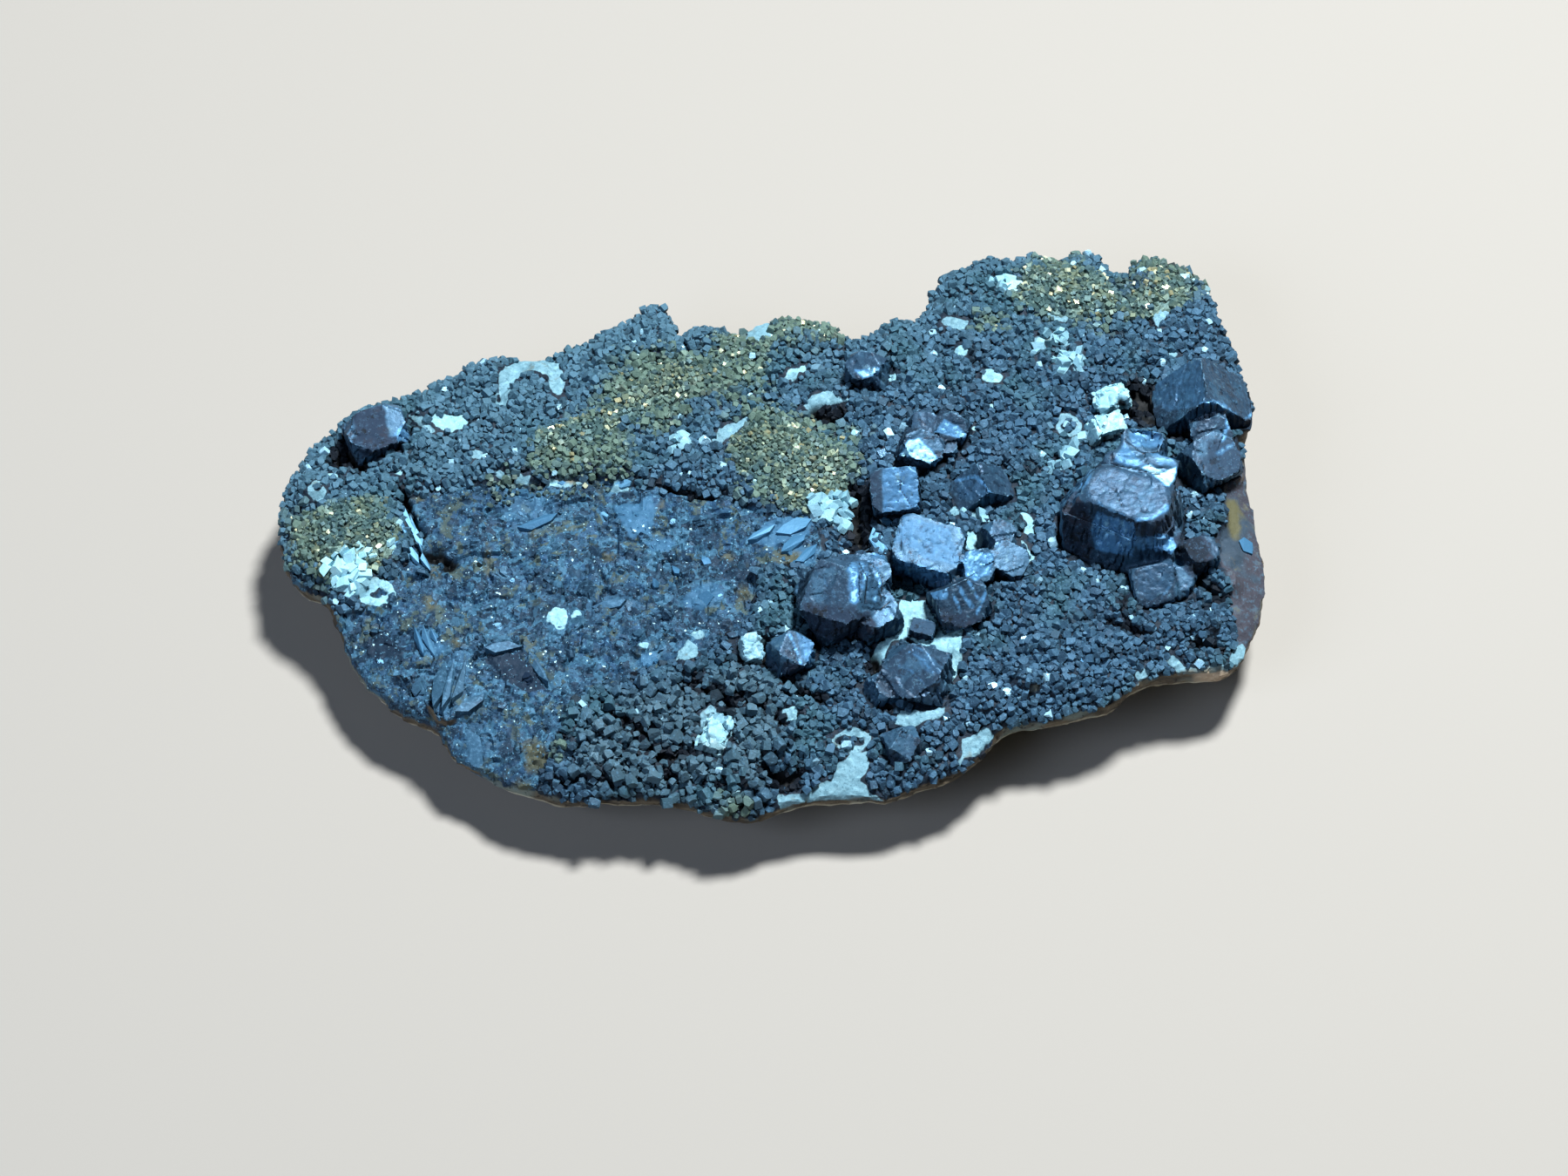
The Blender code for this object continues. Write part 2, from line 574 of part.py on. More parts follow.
def block_planes(one):
    """The crystal's faces as (outward direction, distance from its centre)."""
    hx, hy, hz = one["half"]
    turned = Euler([math.radians(a) for a in one["turn"]]).to_matrix()
    planes = []
    for axis, reach in zip(((1, 0, 0), (0, 1, 0), (0, 0, 1)), (hx, hy, hz)):
        planes.append((turned @ Vector(axis), reach))
        planes.append((turned @ -Vector(axis), reach))
    if one["corner"] < 1:
        reach = one["corner"] * (hx + hy + hz) / math.sqrt(3)
        for i in (-1, 1):
            for j in (-1, 1):
                for k in (-1, 1):
                    planes.append((turned @ Vector((i, j, k)).normalized(), reach))
    for azimuth, lean, reach in one["faces"]:
        a, b = math.radians(azimuth), math.radians(lean)
        side = Vector((math.cos(a) * math.cos(b), math.sin(a) * math.cos(b), math.sin(b)))
        planes.append((side, reach * math.cos(b) + hz * math.sin(b)))
    centre = one["at"]
    seat = bed(np.array([centre[:2]]))[0] - one["sink"]
    planes.append((Vector((0, 0, -1)), centre[2] - seat))
    return planes


def convex(one, grow):
    """A bmesh of the crystal with every face moved out by `grow`."""
    bm = bmesh.new()
    bmesh.ops.create_cube(bm, size=40)
    centre = Vector(one["at"])
    for direction, reach in block_planes(one):
        cut = bmesh.ops.bisect_plane(
            bm, geom=bm.verts[:] + bm.edges[:] + bm.faces[:], dist=1e-4,
            plane_co=direction * (reach + grow), plane_no=direction, clear_outer=True,
        )
        rim_edges = [e for e in cut["geom_cut"] if isinstance(e, bmesh.types.BMEdge)]
        bmesh.ops.edgeloop_fill(bm, edges=rim_edges)
    bmesh.ops.remove_doubles(bm, verts=bm.verts, dist=0.02)
    bmesh.ops.translate(bm, verts=bm.verts, vec=centre)
    return bm


def make_crystal(name, blocks, sockets):
    """A crystal or a grown-together group, and its sockets in the plate."""
    material = "pale" if name.startswith("dolomite") else "galena"
    crystal = solid(name, convex(blocks[0], 0), material)
    for i, one in enumerate(blocks):
        if i:
            member = solid(f"{name}_member_{i}", convex(one, 0), material)
            hide_helper(member)
            joined = crystal.modifiers.new(f"join {i}", "BOOLEAN")
            joined.operation = "UNION"
            joined.object = member
        cutter = solid(f"{name}_socket_{i}", convex(one, GAP), material)
        hide_helper(cutter)
        sockets.objects.link(cutter)


def main():
    for old in list(bpy.data.objects):
        bpy.data.objects.remove(old, do_unlink=True)
    plate = make_plate()
    for name, loop in crust_loops.items():
        make_crust(name, loop)
    sockets = bpy.data.collections.new("sockets")
    for name, blocks in CRYSTALS.items():
        make_crystal(name, blocks, sockets)
    seats = plate.modifiers.new("sockets", "BOOLEAN")
    seats.operation = "DIFFERENCE"
    seats.operand_type = "COLLECTION"
    seats.collection = sockets


main()
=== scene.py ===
import math

import bmesh
import bpy
import numpy as np
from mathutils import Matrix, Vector, noise
from mathutils.bvhtree import BVHTree


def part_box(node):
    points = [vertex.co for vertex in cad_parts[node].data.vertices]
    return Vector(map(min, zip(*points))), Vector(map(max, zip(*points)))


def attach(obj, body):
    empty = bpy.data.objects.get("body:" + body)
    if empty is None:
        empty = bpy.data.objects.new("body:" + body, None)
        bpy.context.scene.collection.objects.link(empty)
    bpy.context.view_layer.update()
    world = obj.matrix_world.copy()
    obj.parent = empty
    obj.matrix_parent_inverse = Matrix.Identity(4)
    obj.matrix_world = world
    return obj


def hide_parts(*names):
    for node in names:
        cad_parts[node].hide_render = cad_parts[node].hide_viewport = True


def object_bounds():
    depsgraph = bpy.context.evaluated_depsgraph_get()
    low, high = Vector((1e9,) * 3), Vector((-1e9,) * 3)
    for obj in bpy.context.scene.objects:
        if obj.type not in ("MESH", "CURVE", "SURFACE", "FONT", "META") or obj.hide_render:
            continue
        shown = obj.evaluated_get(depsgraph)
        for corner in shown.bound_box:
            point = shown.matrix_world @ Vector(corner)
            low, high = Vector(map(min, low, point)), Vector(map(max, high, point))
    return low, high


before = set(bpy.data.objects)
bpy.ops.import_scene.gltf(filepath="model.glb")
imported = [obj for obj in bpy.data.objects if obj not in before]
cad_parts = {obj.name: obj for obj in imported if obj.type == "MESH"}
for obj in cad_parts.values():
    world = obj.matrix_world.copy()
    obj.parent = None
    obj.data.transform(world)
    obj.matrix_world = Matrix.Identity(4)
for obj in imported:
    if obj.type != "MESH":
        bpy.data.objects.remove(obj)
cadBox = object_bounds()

# Galena with pyrite on dolomite. Meshes are worked on in millimetres and finished in metres.
mm = 0.001
mmPerPixel = 0.08  # on the specimen, in the photograph
aboveAll = 40  # mm, a height over every part
boxLow, boxHigh = np.array(cadBox) / mm
print("frame loaded:", len(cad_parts), "nodes")


# Small helpers

def toLinear(hexColour):
    parts = [int(hexColour[i:i + 2], 16) / 255 for i in (1, 3, 5)]
    return [c / 12.92 if c < 0.04045 else ((c + 0.055) / 1.055) ** 2.4 for c in parts] + [1.0]


def addNode(tree, kind, inputs=None, **settings):
    node = tree.nodes.new(kind)
    for name, value in settings.items():
        setattr(node, name, value)
    for key, value in (inputs or {}).items():
        if isinstance(value, bpy.types.NodeSocket):
            tree.links.new(value, node.inputs[key])
        else:
            node.inputs[key].default_value = value
    return node


def smoothStep(value, low, high):
    t = np.clip((value - low) / (high - low), 0, 1)
    return t * t * (3 - 2 * t)


def fractalNoise(points, wave, layer, octaves=3):
    # about -1 to 1, with bumps `wave` mm apart; each layer is another noise
    shift = Vector((0, 0, 17.3 * layer))
    return np.array([noise.fractal(Vector(p) / wave + shift, 0.9, 2.1, octaves) for p in points])


def meshPoints(mesh):
    points = np.empty(len(mesh.vertices) * 3)
    mesh.vertices.foreach_get("co", points)
    return points.reshape(-1, 3)


def meshNormals(mesh):
    normals = np.empty(len(mesh.vertices) * 3)
    mesh.vertex_normals.foreach_get("vector", normals)
    return normals.reshape(-1, 3)


def setPoints(mesh, points):
    mesh.vertices.foreach_set("co", np.ascontiguousarray(points, dtype=float).ravel())
    mesh.update()


def attributeOf(mesh, name):
    values = np.empty(len(mesh.vertices), np.float32)
    mesh.attributes[name].data.foreach_get("value", values)
    return values


def setAttribute(mesh, name, values):
    layer = mesh.attributes.get(name) or mesh.attributes.new(name, "FLOAT", "POINT")
    values = np.broadcast_to(values, len(mesh.vertices))
    layer.data.foreach_set("value", np.ascontiguousarray(values, dtype=np.float32))


def opened(mesh):
    bm = bmesh.new()
    bm.from_mesh(mesh)
    return bm


def closed(bm, mesh):
    bm.to_mesh(mesh)
    bm.free()
    return mesh


def joinMeshes(name, meshes):
    # several meshes as one, keeping their attributes
    bm = bmesh.new()
    for mesh in meshes:
        bm.from_mesh(mesh)
    return closed(bm, bpy.data.meshes.new(name))


def workObject(name, mesh):
    made = bpy.data.objects.new(name, mesh)
    bpy.context.scene.collection.objects.link(made)
    return made


def applied(worker):
    # the evaluated mesh of a working object, which is then removed
    graph = bpy.context.evaluated_depsgraph_get()
    mesh = bpy.data.meshes.new_from_object(worker.evaluated_get(graph))
    bpy.data.objects.remove(worker)
    return mesh


def nodeMesh(node):
    # a merged copy of a CAD node's mesh, in millimetres
    bm = opened(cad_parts[node].data)
    bmesh.ops.scale(bm, vec=(1 / mm,) * 3, verts=bm.verts)
    bmesh.ops.remove_doubles(bm, verts=bm.verts, dist=0.002)
    bmesh.ops.recalc_face_normals(bm, faces=bm.faces)
    return closed(bm, bpy.data.meshes.new(node + " copy"))


def treeOf(mesh):
    points = [tuple(p) for p in meshPoints(mesh)]
    return BVHTree.FromPolygons(points, [tuple(f.vertices) for f in mesh.polygons])


def swollen(mesh, grow):
    setPoints(mesh, meshPoints(mesh) + grow * meshNormals(mesh))
    return mesh


def remeshed(meshes, voxel):
    worker = workObject("remesh worker", joinMeshes("joined", meshes))
    remesh = worker.modifiers.new("voxels", "REMESH")
    remesh.mode = "VOXEL"
    remesh.voxel_size = voxel
    return applied(worker)


def finishPiece(name, mesh, material, replaced=()):
    # a piece in metres, at the origin, inside the CAD box, riding on the one body
    setPoints(mesh, np.clip(meshPoints(mesh) * mm, *cadBox))
    mesh.name = name
    mesh.materials.clear()
    mesh.materials.append(finish[material])
    piece = workObject(name, mesh)
    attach(piece, "root")
    if replaced:
        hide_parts(*replaced)
    print("finished", name, sum(len(p.vertices) - 2 for p in mesh.polygons), "triangles")
    return piece


# Camera: the photograph was taken from in front and well above, with a long lens

cameraSettings = {
    "lens": 180, "sensor": 36,
    "place": (0.00118, -0.441, 0.586), "target": (0.00118, -0.009, 0.010),
    "photoWide": 1800, "photoHigh": 1350,
}


def addCamera():
    data = bpy.data.cameras.new("camera")
    data.lens = cameraSettings["lens"]
    data.sensor_width = cameraSettings["sensor"]
    data.clip_start = 0.01
    made = workObject("camera", data)
    made.location = cameraSettings["place"]
    aim = Vector(cameraSettings["target"]) - made.location
    made.rotation_mode = "QUATERNION"
    made.rotation_quaternion = aim.to_track_quat("-Z", "Y")
    bpy.context.scene.camera = made
    return made


camera = addCamera()
bpy.context.view_layer.update()
plateTree = treeOf(nodeMesh("matrix_plate"))
usualHeight = 8  # of the plate's top in mm, where a line of sight misses it


def photoRay(x, y):
    # the line of sight through a pixel of the photograph, in millimetres
    half = cameraSettings["sensor"] / cameraSettings["lens"] / cameraSettings["photoWide"]
    across = (x - cameraSettings["photoWide"] / 2) * half
    up = (cameraSettings["photoHigh"] / 2 - y) * half
    start = Vector(cameraSettings["place"]) / mm
    return start, (camera.rotation_quaternion @ Vector((across, up, -1))).normalized()


def photoPlace(points):
    # each point's place in the photograph, in pixels
    axes = np.array(camera.rotation_quaternion.to_matrix())
    turned = (points - np.array(cameraSettings["place"]) / mm) @ axes
    scale = cameraSettings["lens"] / cameraSettings["sensor"] * cameraSettings["photoWide"]
    x = cameraSettings["photoWide"] / 2 + turned[:, 0] / -turned[:, 2] * scale
    y = cameraSettings["photoHigh"] / 2 - turned[:, 1] / -turned[:, 2] * scale
    return np.stack([x, y], axis=1)


def onPlate(x, y):
    # where a pixel of the photograph lies on the plate, seen from above
    start, along = photoRay(x, y)
    hit = plateTree.ray_cast(start, along)[0]
    if hit is None:
        hit = start + along * ((usualHeight - start.z) / along.z)
    return hit.x, hit.y


def heightAt(x, y):
    # the plate's height under a place in mm, or None beside the plate
    hit = plateTree.ray_cast(Vector((x, y, aboveAll)), Vector((0, 0, -1)))[0]
    return None if hit is None else hit.z


def pairs(line):
    return np.reshape(line, (-1, 2))


def photoOutline(line):
    return np.array([onPlate(x, y) for x, y in pairs(line)])


def ovalOutline(x, y, wide, high, corners=12):
    angles = np.arange(corners) * math.tau / corners
    across = wide * np.cos(angles) * (1 + 0.12 * np.sin(3 * angles + x))
    up = high * np.sin(angles) * (1 + 0.12 * np.sin(2 * angles + y))
    return photoOutline(np.stack([x + across, y + up], axis=1))


def lineReach(points, start, end):
    # the distance from each point to each of the line's parts
    side = end - start
    reach = points[:, None] - start
    along = np.clip((reach * side).sum(2) / np.maximum((side * side).sum(1), 1e-9), 0, 1)
    return np.linalg.norm(reach - along[..., None] * side, axis=2)


def lineDistance(points, line):
    return lineReach(points, line[:-1], line[1:]).min(axis=1)


def depthInside(points, loop):
    # how far each point lies inside a closed loop, negative outside it
    end = np.roll(loop, -1, axis=0)
    away = lineReach(points, loop, end).min(axis=1)
    px, py = points[:, :1], points[:, 1:]
    side = end - loop
    rise = np.where(side[:, 1] == 0, 1e-9, side[:, 1])
    over = (loop[:, 1] > py) != (end[:, 1] > py)
    crossed = over & (px < side[:, 0] * (py - loop[:, 1]) / rise + loop[:, 0])
    return np.where(crossed.sum(axis=1) % 2 == 1, away, -away)


def depthInAny(points, loops, reach=4):
    # the greatest depth inside any of the loops, never less than -reach
    depth = np.full(len(points), -float(reach))
    for loop in loops:
        near = ((points > loop.min(axis=0) - reach) & (points < loop.max(axis=0) + reach)).all(axis=1)
        if near.any():
            depth[near] = np.maximum(depth[near], depthInside(points[near], loop))
    return depth


def nearestSeeds(points, size, layer):
    # seeds about `size` mm apart, in the plane or in space: each point's offset from its seed,
    # the seed's random numbers, and how far the point is from the border with the next seed
    wide = points.shape[1]
    table = np.random.default_rng(layer).random((4096, 8))
    cell = np.floor(points / size).astype(int)
    best = np.full(len(points), 1e9)
    second = best.copy()
    offset = np.zeros(points.shape)
    chosen = np.zeros((len(points), 8))
    for step in np.ndindex(*(3,) * wide):
        at = cell + np.array(step) - 1
        pick = table[(at @ np.array((1, 67, 911)[:wide])) % 4096]
        away = points - (at + 0.12 + 0.76 * pick[:, :wide]) * size
        distance = np.linalg.norm(away, axis=1)
        nearer = distance < best
        second = np.where(nearer, best, np.minimum(second, distance))
        best = np.where(nearer, distance, best)
        offset[nearer] = away[nearer]
        chosen[nearer] = pick[nearer]
    return offset, chosen, second - best


def facets(points, size, tilt, step, groove, layer):
    # broken, tilted flats with a groove between them
    offset, pick, border = nearestSeeds(points, size, layer)
    wide = points.shape[1]
    slope = ((pick[:, wide:2 * wide] - 0.5) * 2 * tilt * offset).sum(axis=1)
    return slope + step * (pick[:, 7] - 0.5) - groove * (1 - smoothStep(border, 0, 0.22 * size))


def clumps(points, size, layer):
    # rounded heaps of grains, 0 between them and 1 on top
    offset, pick, _ = nearestSeeds(points, size, layer)
    reach = size * (0.55 + 0.3 * pick[:, 7])
    return np.sqrt(np.maximum(0, 1 - (offset ** 2).sum(axis=1) / reach ** 2))


def ripples(points, size, high, wave, layer):
    # curved ripples of a shell-like break, on about half of the flats
    offset, pick, border = nearestSeeds(points, size, layer)
    away = np.linalg.norm(offset + size * (pick[:, 2:4] - 0.5) * 2, axis=1)
    return high * np.sin(away * math.tau / wave) * (pick[:, 7] > 0.5) * smoothStep(border, 0, 0.6)


# What lies where on the plate, as outlines in the photograph's 1800 x 1350 pixels: x, y, x, y
# and so on. onPlate lays them on the modelled surface.

zones = {
    "massive": [
        455, 575, 520, 560, 600, 556, 690, 547, 770, 566, 850, 576, 885, 588, 936, 592, 944, 640,
        930, 656, 868, 650, 870, 690, 850, 720, 790, 750, 735, 775, 680, 790, 650, 815, 642, 850,
        626, 880, 604, 915, 560, 970, 440, 900, 360, 800, 290, 720, 290, 652, 335, 660, 370, 705,
        410, 705, 450, 662, 478, 620,
    ],
    "rimBand": [
        1405, 560, 1430, 520, 1470, 520, 1480, 760, 1430, 762, 1417, 735, 1412, 680, 1398, 640,
        1408, 600,
    ],
    "tanRim": [
        1350, 800, 1372, 778, 1392, 766, 1412, 770, 1432, 762, 1446, 764, 1446, 800, 1410, 814,
        1360, 816,
    ],
    "coarseDruse": [
        655, 820, 700, 790, 800, 765, 860, 740, 905, 780, 930, 830, 900, 890, 860, 950, 740, 940,
        640, 900,
    ],
}
# bare dolomite
palePatches = {
    "slabInMiddle": [
        1035, 690, 1070, 692, 1104, 722, 1104, 762, 1094, 784, 1082, 778, 1072, 748, 1040, 731,
        1024, 738, 1012, 760, 999, 757, 1015, 733,
    ],
    "nearRim": [
        893, 917, 912, 914, 936, 905, 955, 895, 962, 878, 979, 867, 996, 864, 998, 880, 988, 898,
        998, 909, 1014, 920, 1022, 932, 965, 932, 905, 940,
    ],
    "nearRimRight": [1100, 880, 1106, 850, 1130, 838, 1142, 848, 1122, 866],
    "underRound": [1027, 832, 1032, 816, 1060, 818, 1084, 812, 1082, 824, 1050, 836],
    "farLeft": [
        571, 440, 577, 422, 600, 415, 640, 416, 648, 440, 644, 458, 634, 452, 628, 432, 604, 428,
        590, 436, 586, 452, 574, 466,
    ],
    "leftBar": [489, 480, 510, 475, 535, 477, 537, 485, 530, 494, 517, 498, 500, 492],
    "leftBarEnd": [470, 477, 484, 481, 502, 497, 494, 500, 478, 487],
    "bandPatch": [766, 518, 774, 504, 790, 500, 788, 512, 776, 522],
    "bandBar": [816, 506, 834, 490, 860, 480, 862, 486, 842, 500, 824, 512],
    "backBar": [896, 440, 906, 426, 926, 419, 924, 428, 910, 440],
    "backLine": [920, 468, 930, 456, 955, 451, 977, 460, 950, 462, 934, 472],
    "bright": [926, 574, 950, 568, 974, 572, 976, 600, 966, 608, 946, 600, 930, 590],
    "hook": [1085, 598, 1092, 582, 1108, 574, 1122, 580, 1134, 600, 1128, 602, 1110, 590, 1094, 594],
    "hookFoot": [1099, 616, 1110, 611, 1125, 614, 1124, 634, 1112, 632],
    "rightOfCentre": [1170, 588, 1182, 592, 1190, 604, 1184, 617, 1176, 612, 1178, 602],
    "belowThat": [1172, 622, 1180, 628, 1187, 644, 1180, 648, 1174, 640],
    "arch": [
        1184, 404, 1188, 390, 1203, 382, 1220, 384, 1228, 396, 1222, 400, 1212, 392, 1200, 394,
        1194, 408,
    ],
    "archSide": [
        1211, 412, 1222, 404, 1230, 408, 1236, 402, 1246, 412, 1242, 428, 1232, 428, 1234, 416,
        1226, 424, 1222, 432, 1212, 424,
    ],
    "vein": [1203, 542, 1214, 530, 1226, 514, 1230, 503, 1240, 503, 1238, 520, 1226, 538],
    "hookBehind": [
        1306, 536, 1320, 533, 1336, 540, 1348, 538, 1354, 534, 1350, 548, 1342, 560, 1332, 556,
        1324, 544,
    ],
    "farSpot": [1136, 322, 1152, 316, 1168, 322, 1164, 334, 1148, 336],
    "farBar": [1200, 362, 1216, 358, 1231, 362, 1222, 370, 1206, 370],
    "farRight": [1322, 366, 1332, 350, 1346, 350, 1340, 364, 1330, 378],
    "farCurve": [1078, 372, 1092, 364, 1112, 368, 1108, 380, 1092, 378],
    "cornerBlob": [1412, 760, 1414, 746, 1426, 740, 1438, 746, 1440, 764, 1424, 770],
    "cornerRim": [1366, 796, 1372, 776, 1392, 764, 1410, 770, 1428, 764, 1440, 768, 1432, 800, 1400, 806],
    "cornerBar": [1338, 760, 1346, 754, 1360, 764, 1378, 782, 1370, 786, 1354, 778],
    "nearRimFarRight": [1284, 822, 1292, 802, 1306, 792, 1314, 796, 1306, 812, 1300, 826],
    "roughCrystal": [803, 822, 816, 812, 830, 822, 837, 840, 830, 866, 818, 872, 806, 852],
    "besideFront": [851, 748, 868, 732, 878, 736, 872, 762, 858, 768],
    "leftOfFront": [775, 755, 790, 736, 802, 742, 800, 756, 786, 760],
    "farRim": [855, 392, 862, 372, 886, 368, 884, 382, 872, 394],
    "ledgeBar": [588, 556, 594, 546, 610, 547, 608, 556],
    "ledgeBarNext": [624, 560, 630, 549, 660, 550, 656, 562],
    "ledgeBarLast": [700, 566, 704, 550, 726, 549, 722, 566],
    "cluster": [374, 650, 384, 638, 404, 638, 418, 650, 420, 672, 404, 686, 384, 680],
    "clusterTop": [411, 645, 415, 630, 428, 631, 428, 644],
    "clusterBar": [438, 637, 442, 624, 456, 624, 454, 637],
}
# the patches that small rhombs cover, and the whitest ones
rhombPatches = [
    "cluster", "clusterTop", "clusterBar", "bright", "hook", "vein", "arch", "archSide", "bandPatch",
    "hookBehind", "farSpot",
]
whitePatches = [
    "cluster", "clusterTop", "clusterBar", "leftBar", "backBar", "hookFoot", "rightOfCentre",
    "slabInMiddle", "belowThat", "farSpot",
]
# spots of dolomite: middle, half width, half height
whiteSpots = [
    (1138, 433, 12, 8), (1104, 404, 9, 8), (908, 820, 9, 8), (640, 710, 13, 12), (661, 707, 6, 6),
    (740, 741, 5, 5), (1024, 433, 4, 5), (1088, 659, 6, 5), (382, 548, 7, 4), (457, 545, 4, 3),
    (1236, 356, 5, 3), (634, 556, 8, 3), (1140, 468, 3, 3), (1118, 494, 4, 3),
]
# the one ring that is white, with the stone round it
whiteRing = (434, 682, 20, 15)
greySpots = [
    (801, 731, 6, 6), (575, 545, 5, 4), (548, 522, 7, 5), (524, 430, 5, 6), (1310, 776, 8, 6),
    (1347, 408, 4, 3), (662, 556, 8, 3),
]
# rings of dolomite round a dark middle: middle, half width, half height, half width of the ring
paleRings = {
    "leftRing": (364, 563, 8, 8, 3.2), "veinRing": (1226, 489, 12, 10, 3.4),
    "nearRing": (978, 851, 20, 11, 3.4), "farLeftRing": (575, 459, 7, 6, 2.6),
    "clusterRing": (434, 682, 15, 10, 5.5),
}

# where pyrite tints the druse
oliveZones = {
    "left": [316, 590, 380, 580, 450, 588, 462, 620, 440, 640, 380, 650, 325, 655],
    "band": [598, 520, 640, 492, 700, 478, 735, 490, 728, 535, 712, 562, 660, 556, 610, 548],
    "bandFar": [
        690, 490, 700, 420, 760, 395, 800, 400, 850, 372, 960, 364, 970, 396, 900, 402, 880, 450,
        800, 470, 760, 500,
    ],
    "centre": [838, 480, 880, 458, 930, 480, 985, 500, 985, 572, 930, 578, 880, 580, 850, 560],
    "far": [
        1184, 300, 1190, 280, 1235, 280, 1240, 322, 1290, 326, 1300, 306, 1340, 296, 1392, 306,
        1389, 342, 1330, 345, 1293, 358, 1270, 376, 1230, 378, 1190, 365,
    ],
    "farLeft": [1112, 366, 1130, 360, 1150, 366, 1148, 384, 1124, 386],
    "nearLeft": [634, 846, 655, 842, 650, 880, 630, 892],
    "nearMiddle": [820, 925, 840, 916, 860, 930, 850, 944, 826, 944],
    "ledge": [540, 560, 600, 540, 690, 545, 720, 560, 640, 575, 560, 580],
}
# parts of the pyrite crusts where galena shows through
darkCrust = [
    [1066, 345, 1072, 310, 1100, 288, 1140, 282, 1168, 300, 1172, 330, 1150, 362, 1096, 366],
    [1262, 292, 1300, 280, 1322, 300, 1318, 330, 1290, 342, 1268, 322],
    [1372, 300, 1400, 300, 1410, 360, 1380, 350],
]
# flats of the broken galena: how bright (above 0) or dark (below 0), then the outline
flats = {
    "blueA": (0.5, [566, 582, 580, 564, 600, 560, 618, 566, 642, 576, 634, 604, 610, 622, 588, 606]),
    "blueB": (0.9, [701, 580, 726, 578, 748, 570, 756, 586, 746, 612, 724, 616, 712, 600]),
    "blueC": (0.8, [740, 626, 752, 616, 772, 616, 778, 628, 768, 638, 748, 634]),
    "blueD": (0.75, [780, 690, 792, 672, 820, 664, 834, 676, 828, 700, 800, 704]),
    "blueE": (0.9, [730, 760, 738, 750, 754, 750, 758, 762, 744, 772]),
    "fan": (0.8, [474, 718, 486, 714, 512, 744, 508, 754, 494, 756, 480, 738]),
    "besideFan": (0.4, [497, 813, 503, 762, 522, 748, 543, 750, 538, 780, 512, 816]),
    "underFan": (0.5, [520, 815, 534, 796, 560, 794, 560, 806, 540, 824]),
    "lowFace": (0.4, [527, 832, 548, 826, 567, 840, 562, 884, 548, 896, 530, 868]),
    "leftFace": (0.15, [407, 772, 430, 764, 460, 776, 456, 806, 424, 812]),
    "nearCentre": (0.3, [640, 656, 672, 640, 704, 650, 700, 672, 660, 676]),
    "lens": (-1.0, [556, 752, 572, 744, 598, 748, 618, 774, 628, 790, 600, 794, 576, 780]),
    "darkLeft": (-0.8, [408, 738, 440, 730, 466, 742, 462, 756, 424, 758]),
    "conch": (-0.5, [600, 690, 640, 686, 660, 700, 640, 716, 608, 712]),
    "slateTop": (-0.5, [600, 552, 650, 550, 700, 560, 690, 570, 640, 566, 604, 568]),
    "slateRight": (-0.6, [800, 640, 840, 632, 866, 646, 860, 668, 824, 660]),
    "platesByCleft": (0.8, [858, 616, 880, 598, 905, 592, 934, 592, 930, 612, 905, 622, 880, 628]),
    "platesBelow": (0.7, [900, 642, 915, 626, 940, 630, 936, 650, 910, 654]),
    "nearCliff": (-0.5, [572, 870, 584, 830, 598, 840, 596, 900, 576, 905]),
    "slab": (-0.3, [805, 704, 840, 698, 885, 706, 880, 724, 836, 726, 808, 720]),
    "byCrust": (-0.6, [664, 640, 684, 632, 700, 656, 696, 668, 676, 664]),
}

# spots of iron: middle, half width, half height
rustSpots = [
    (478, 572, 12, 9), (452, 662, 8, 7), (499, 660, 9, 7), (494, 690, 11, 9), (527, 739, 16, 8),
    (749, 742, 9, 9), (852, 683, 13, 12), (610, 735, 9, 9), (700, 700, 8, 6), (648, 552, 20, 6),
    (560, 640, 8, 16), (618, 868, 22, 26), (610, 610, 9, 12), (760, 580, 9, 7), (836, 640, 8, 9),
    (690, 545, 18, 6), (700, 640, 14, 6), (1340, 470, 26, 13), (905, 640, 22, 10), (845, 930, 12, 9),
    (600, 905, 16, 12), (1400, 786, 46, 22), (1416, 596, 10, 22), (1024, 590, 10, 6),
]

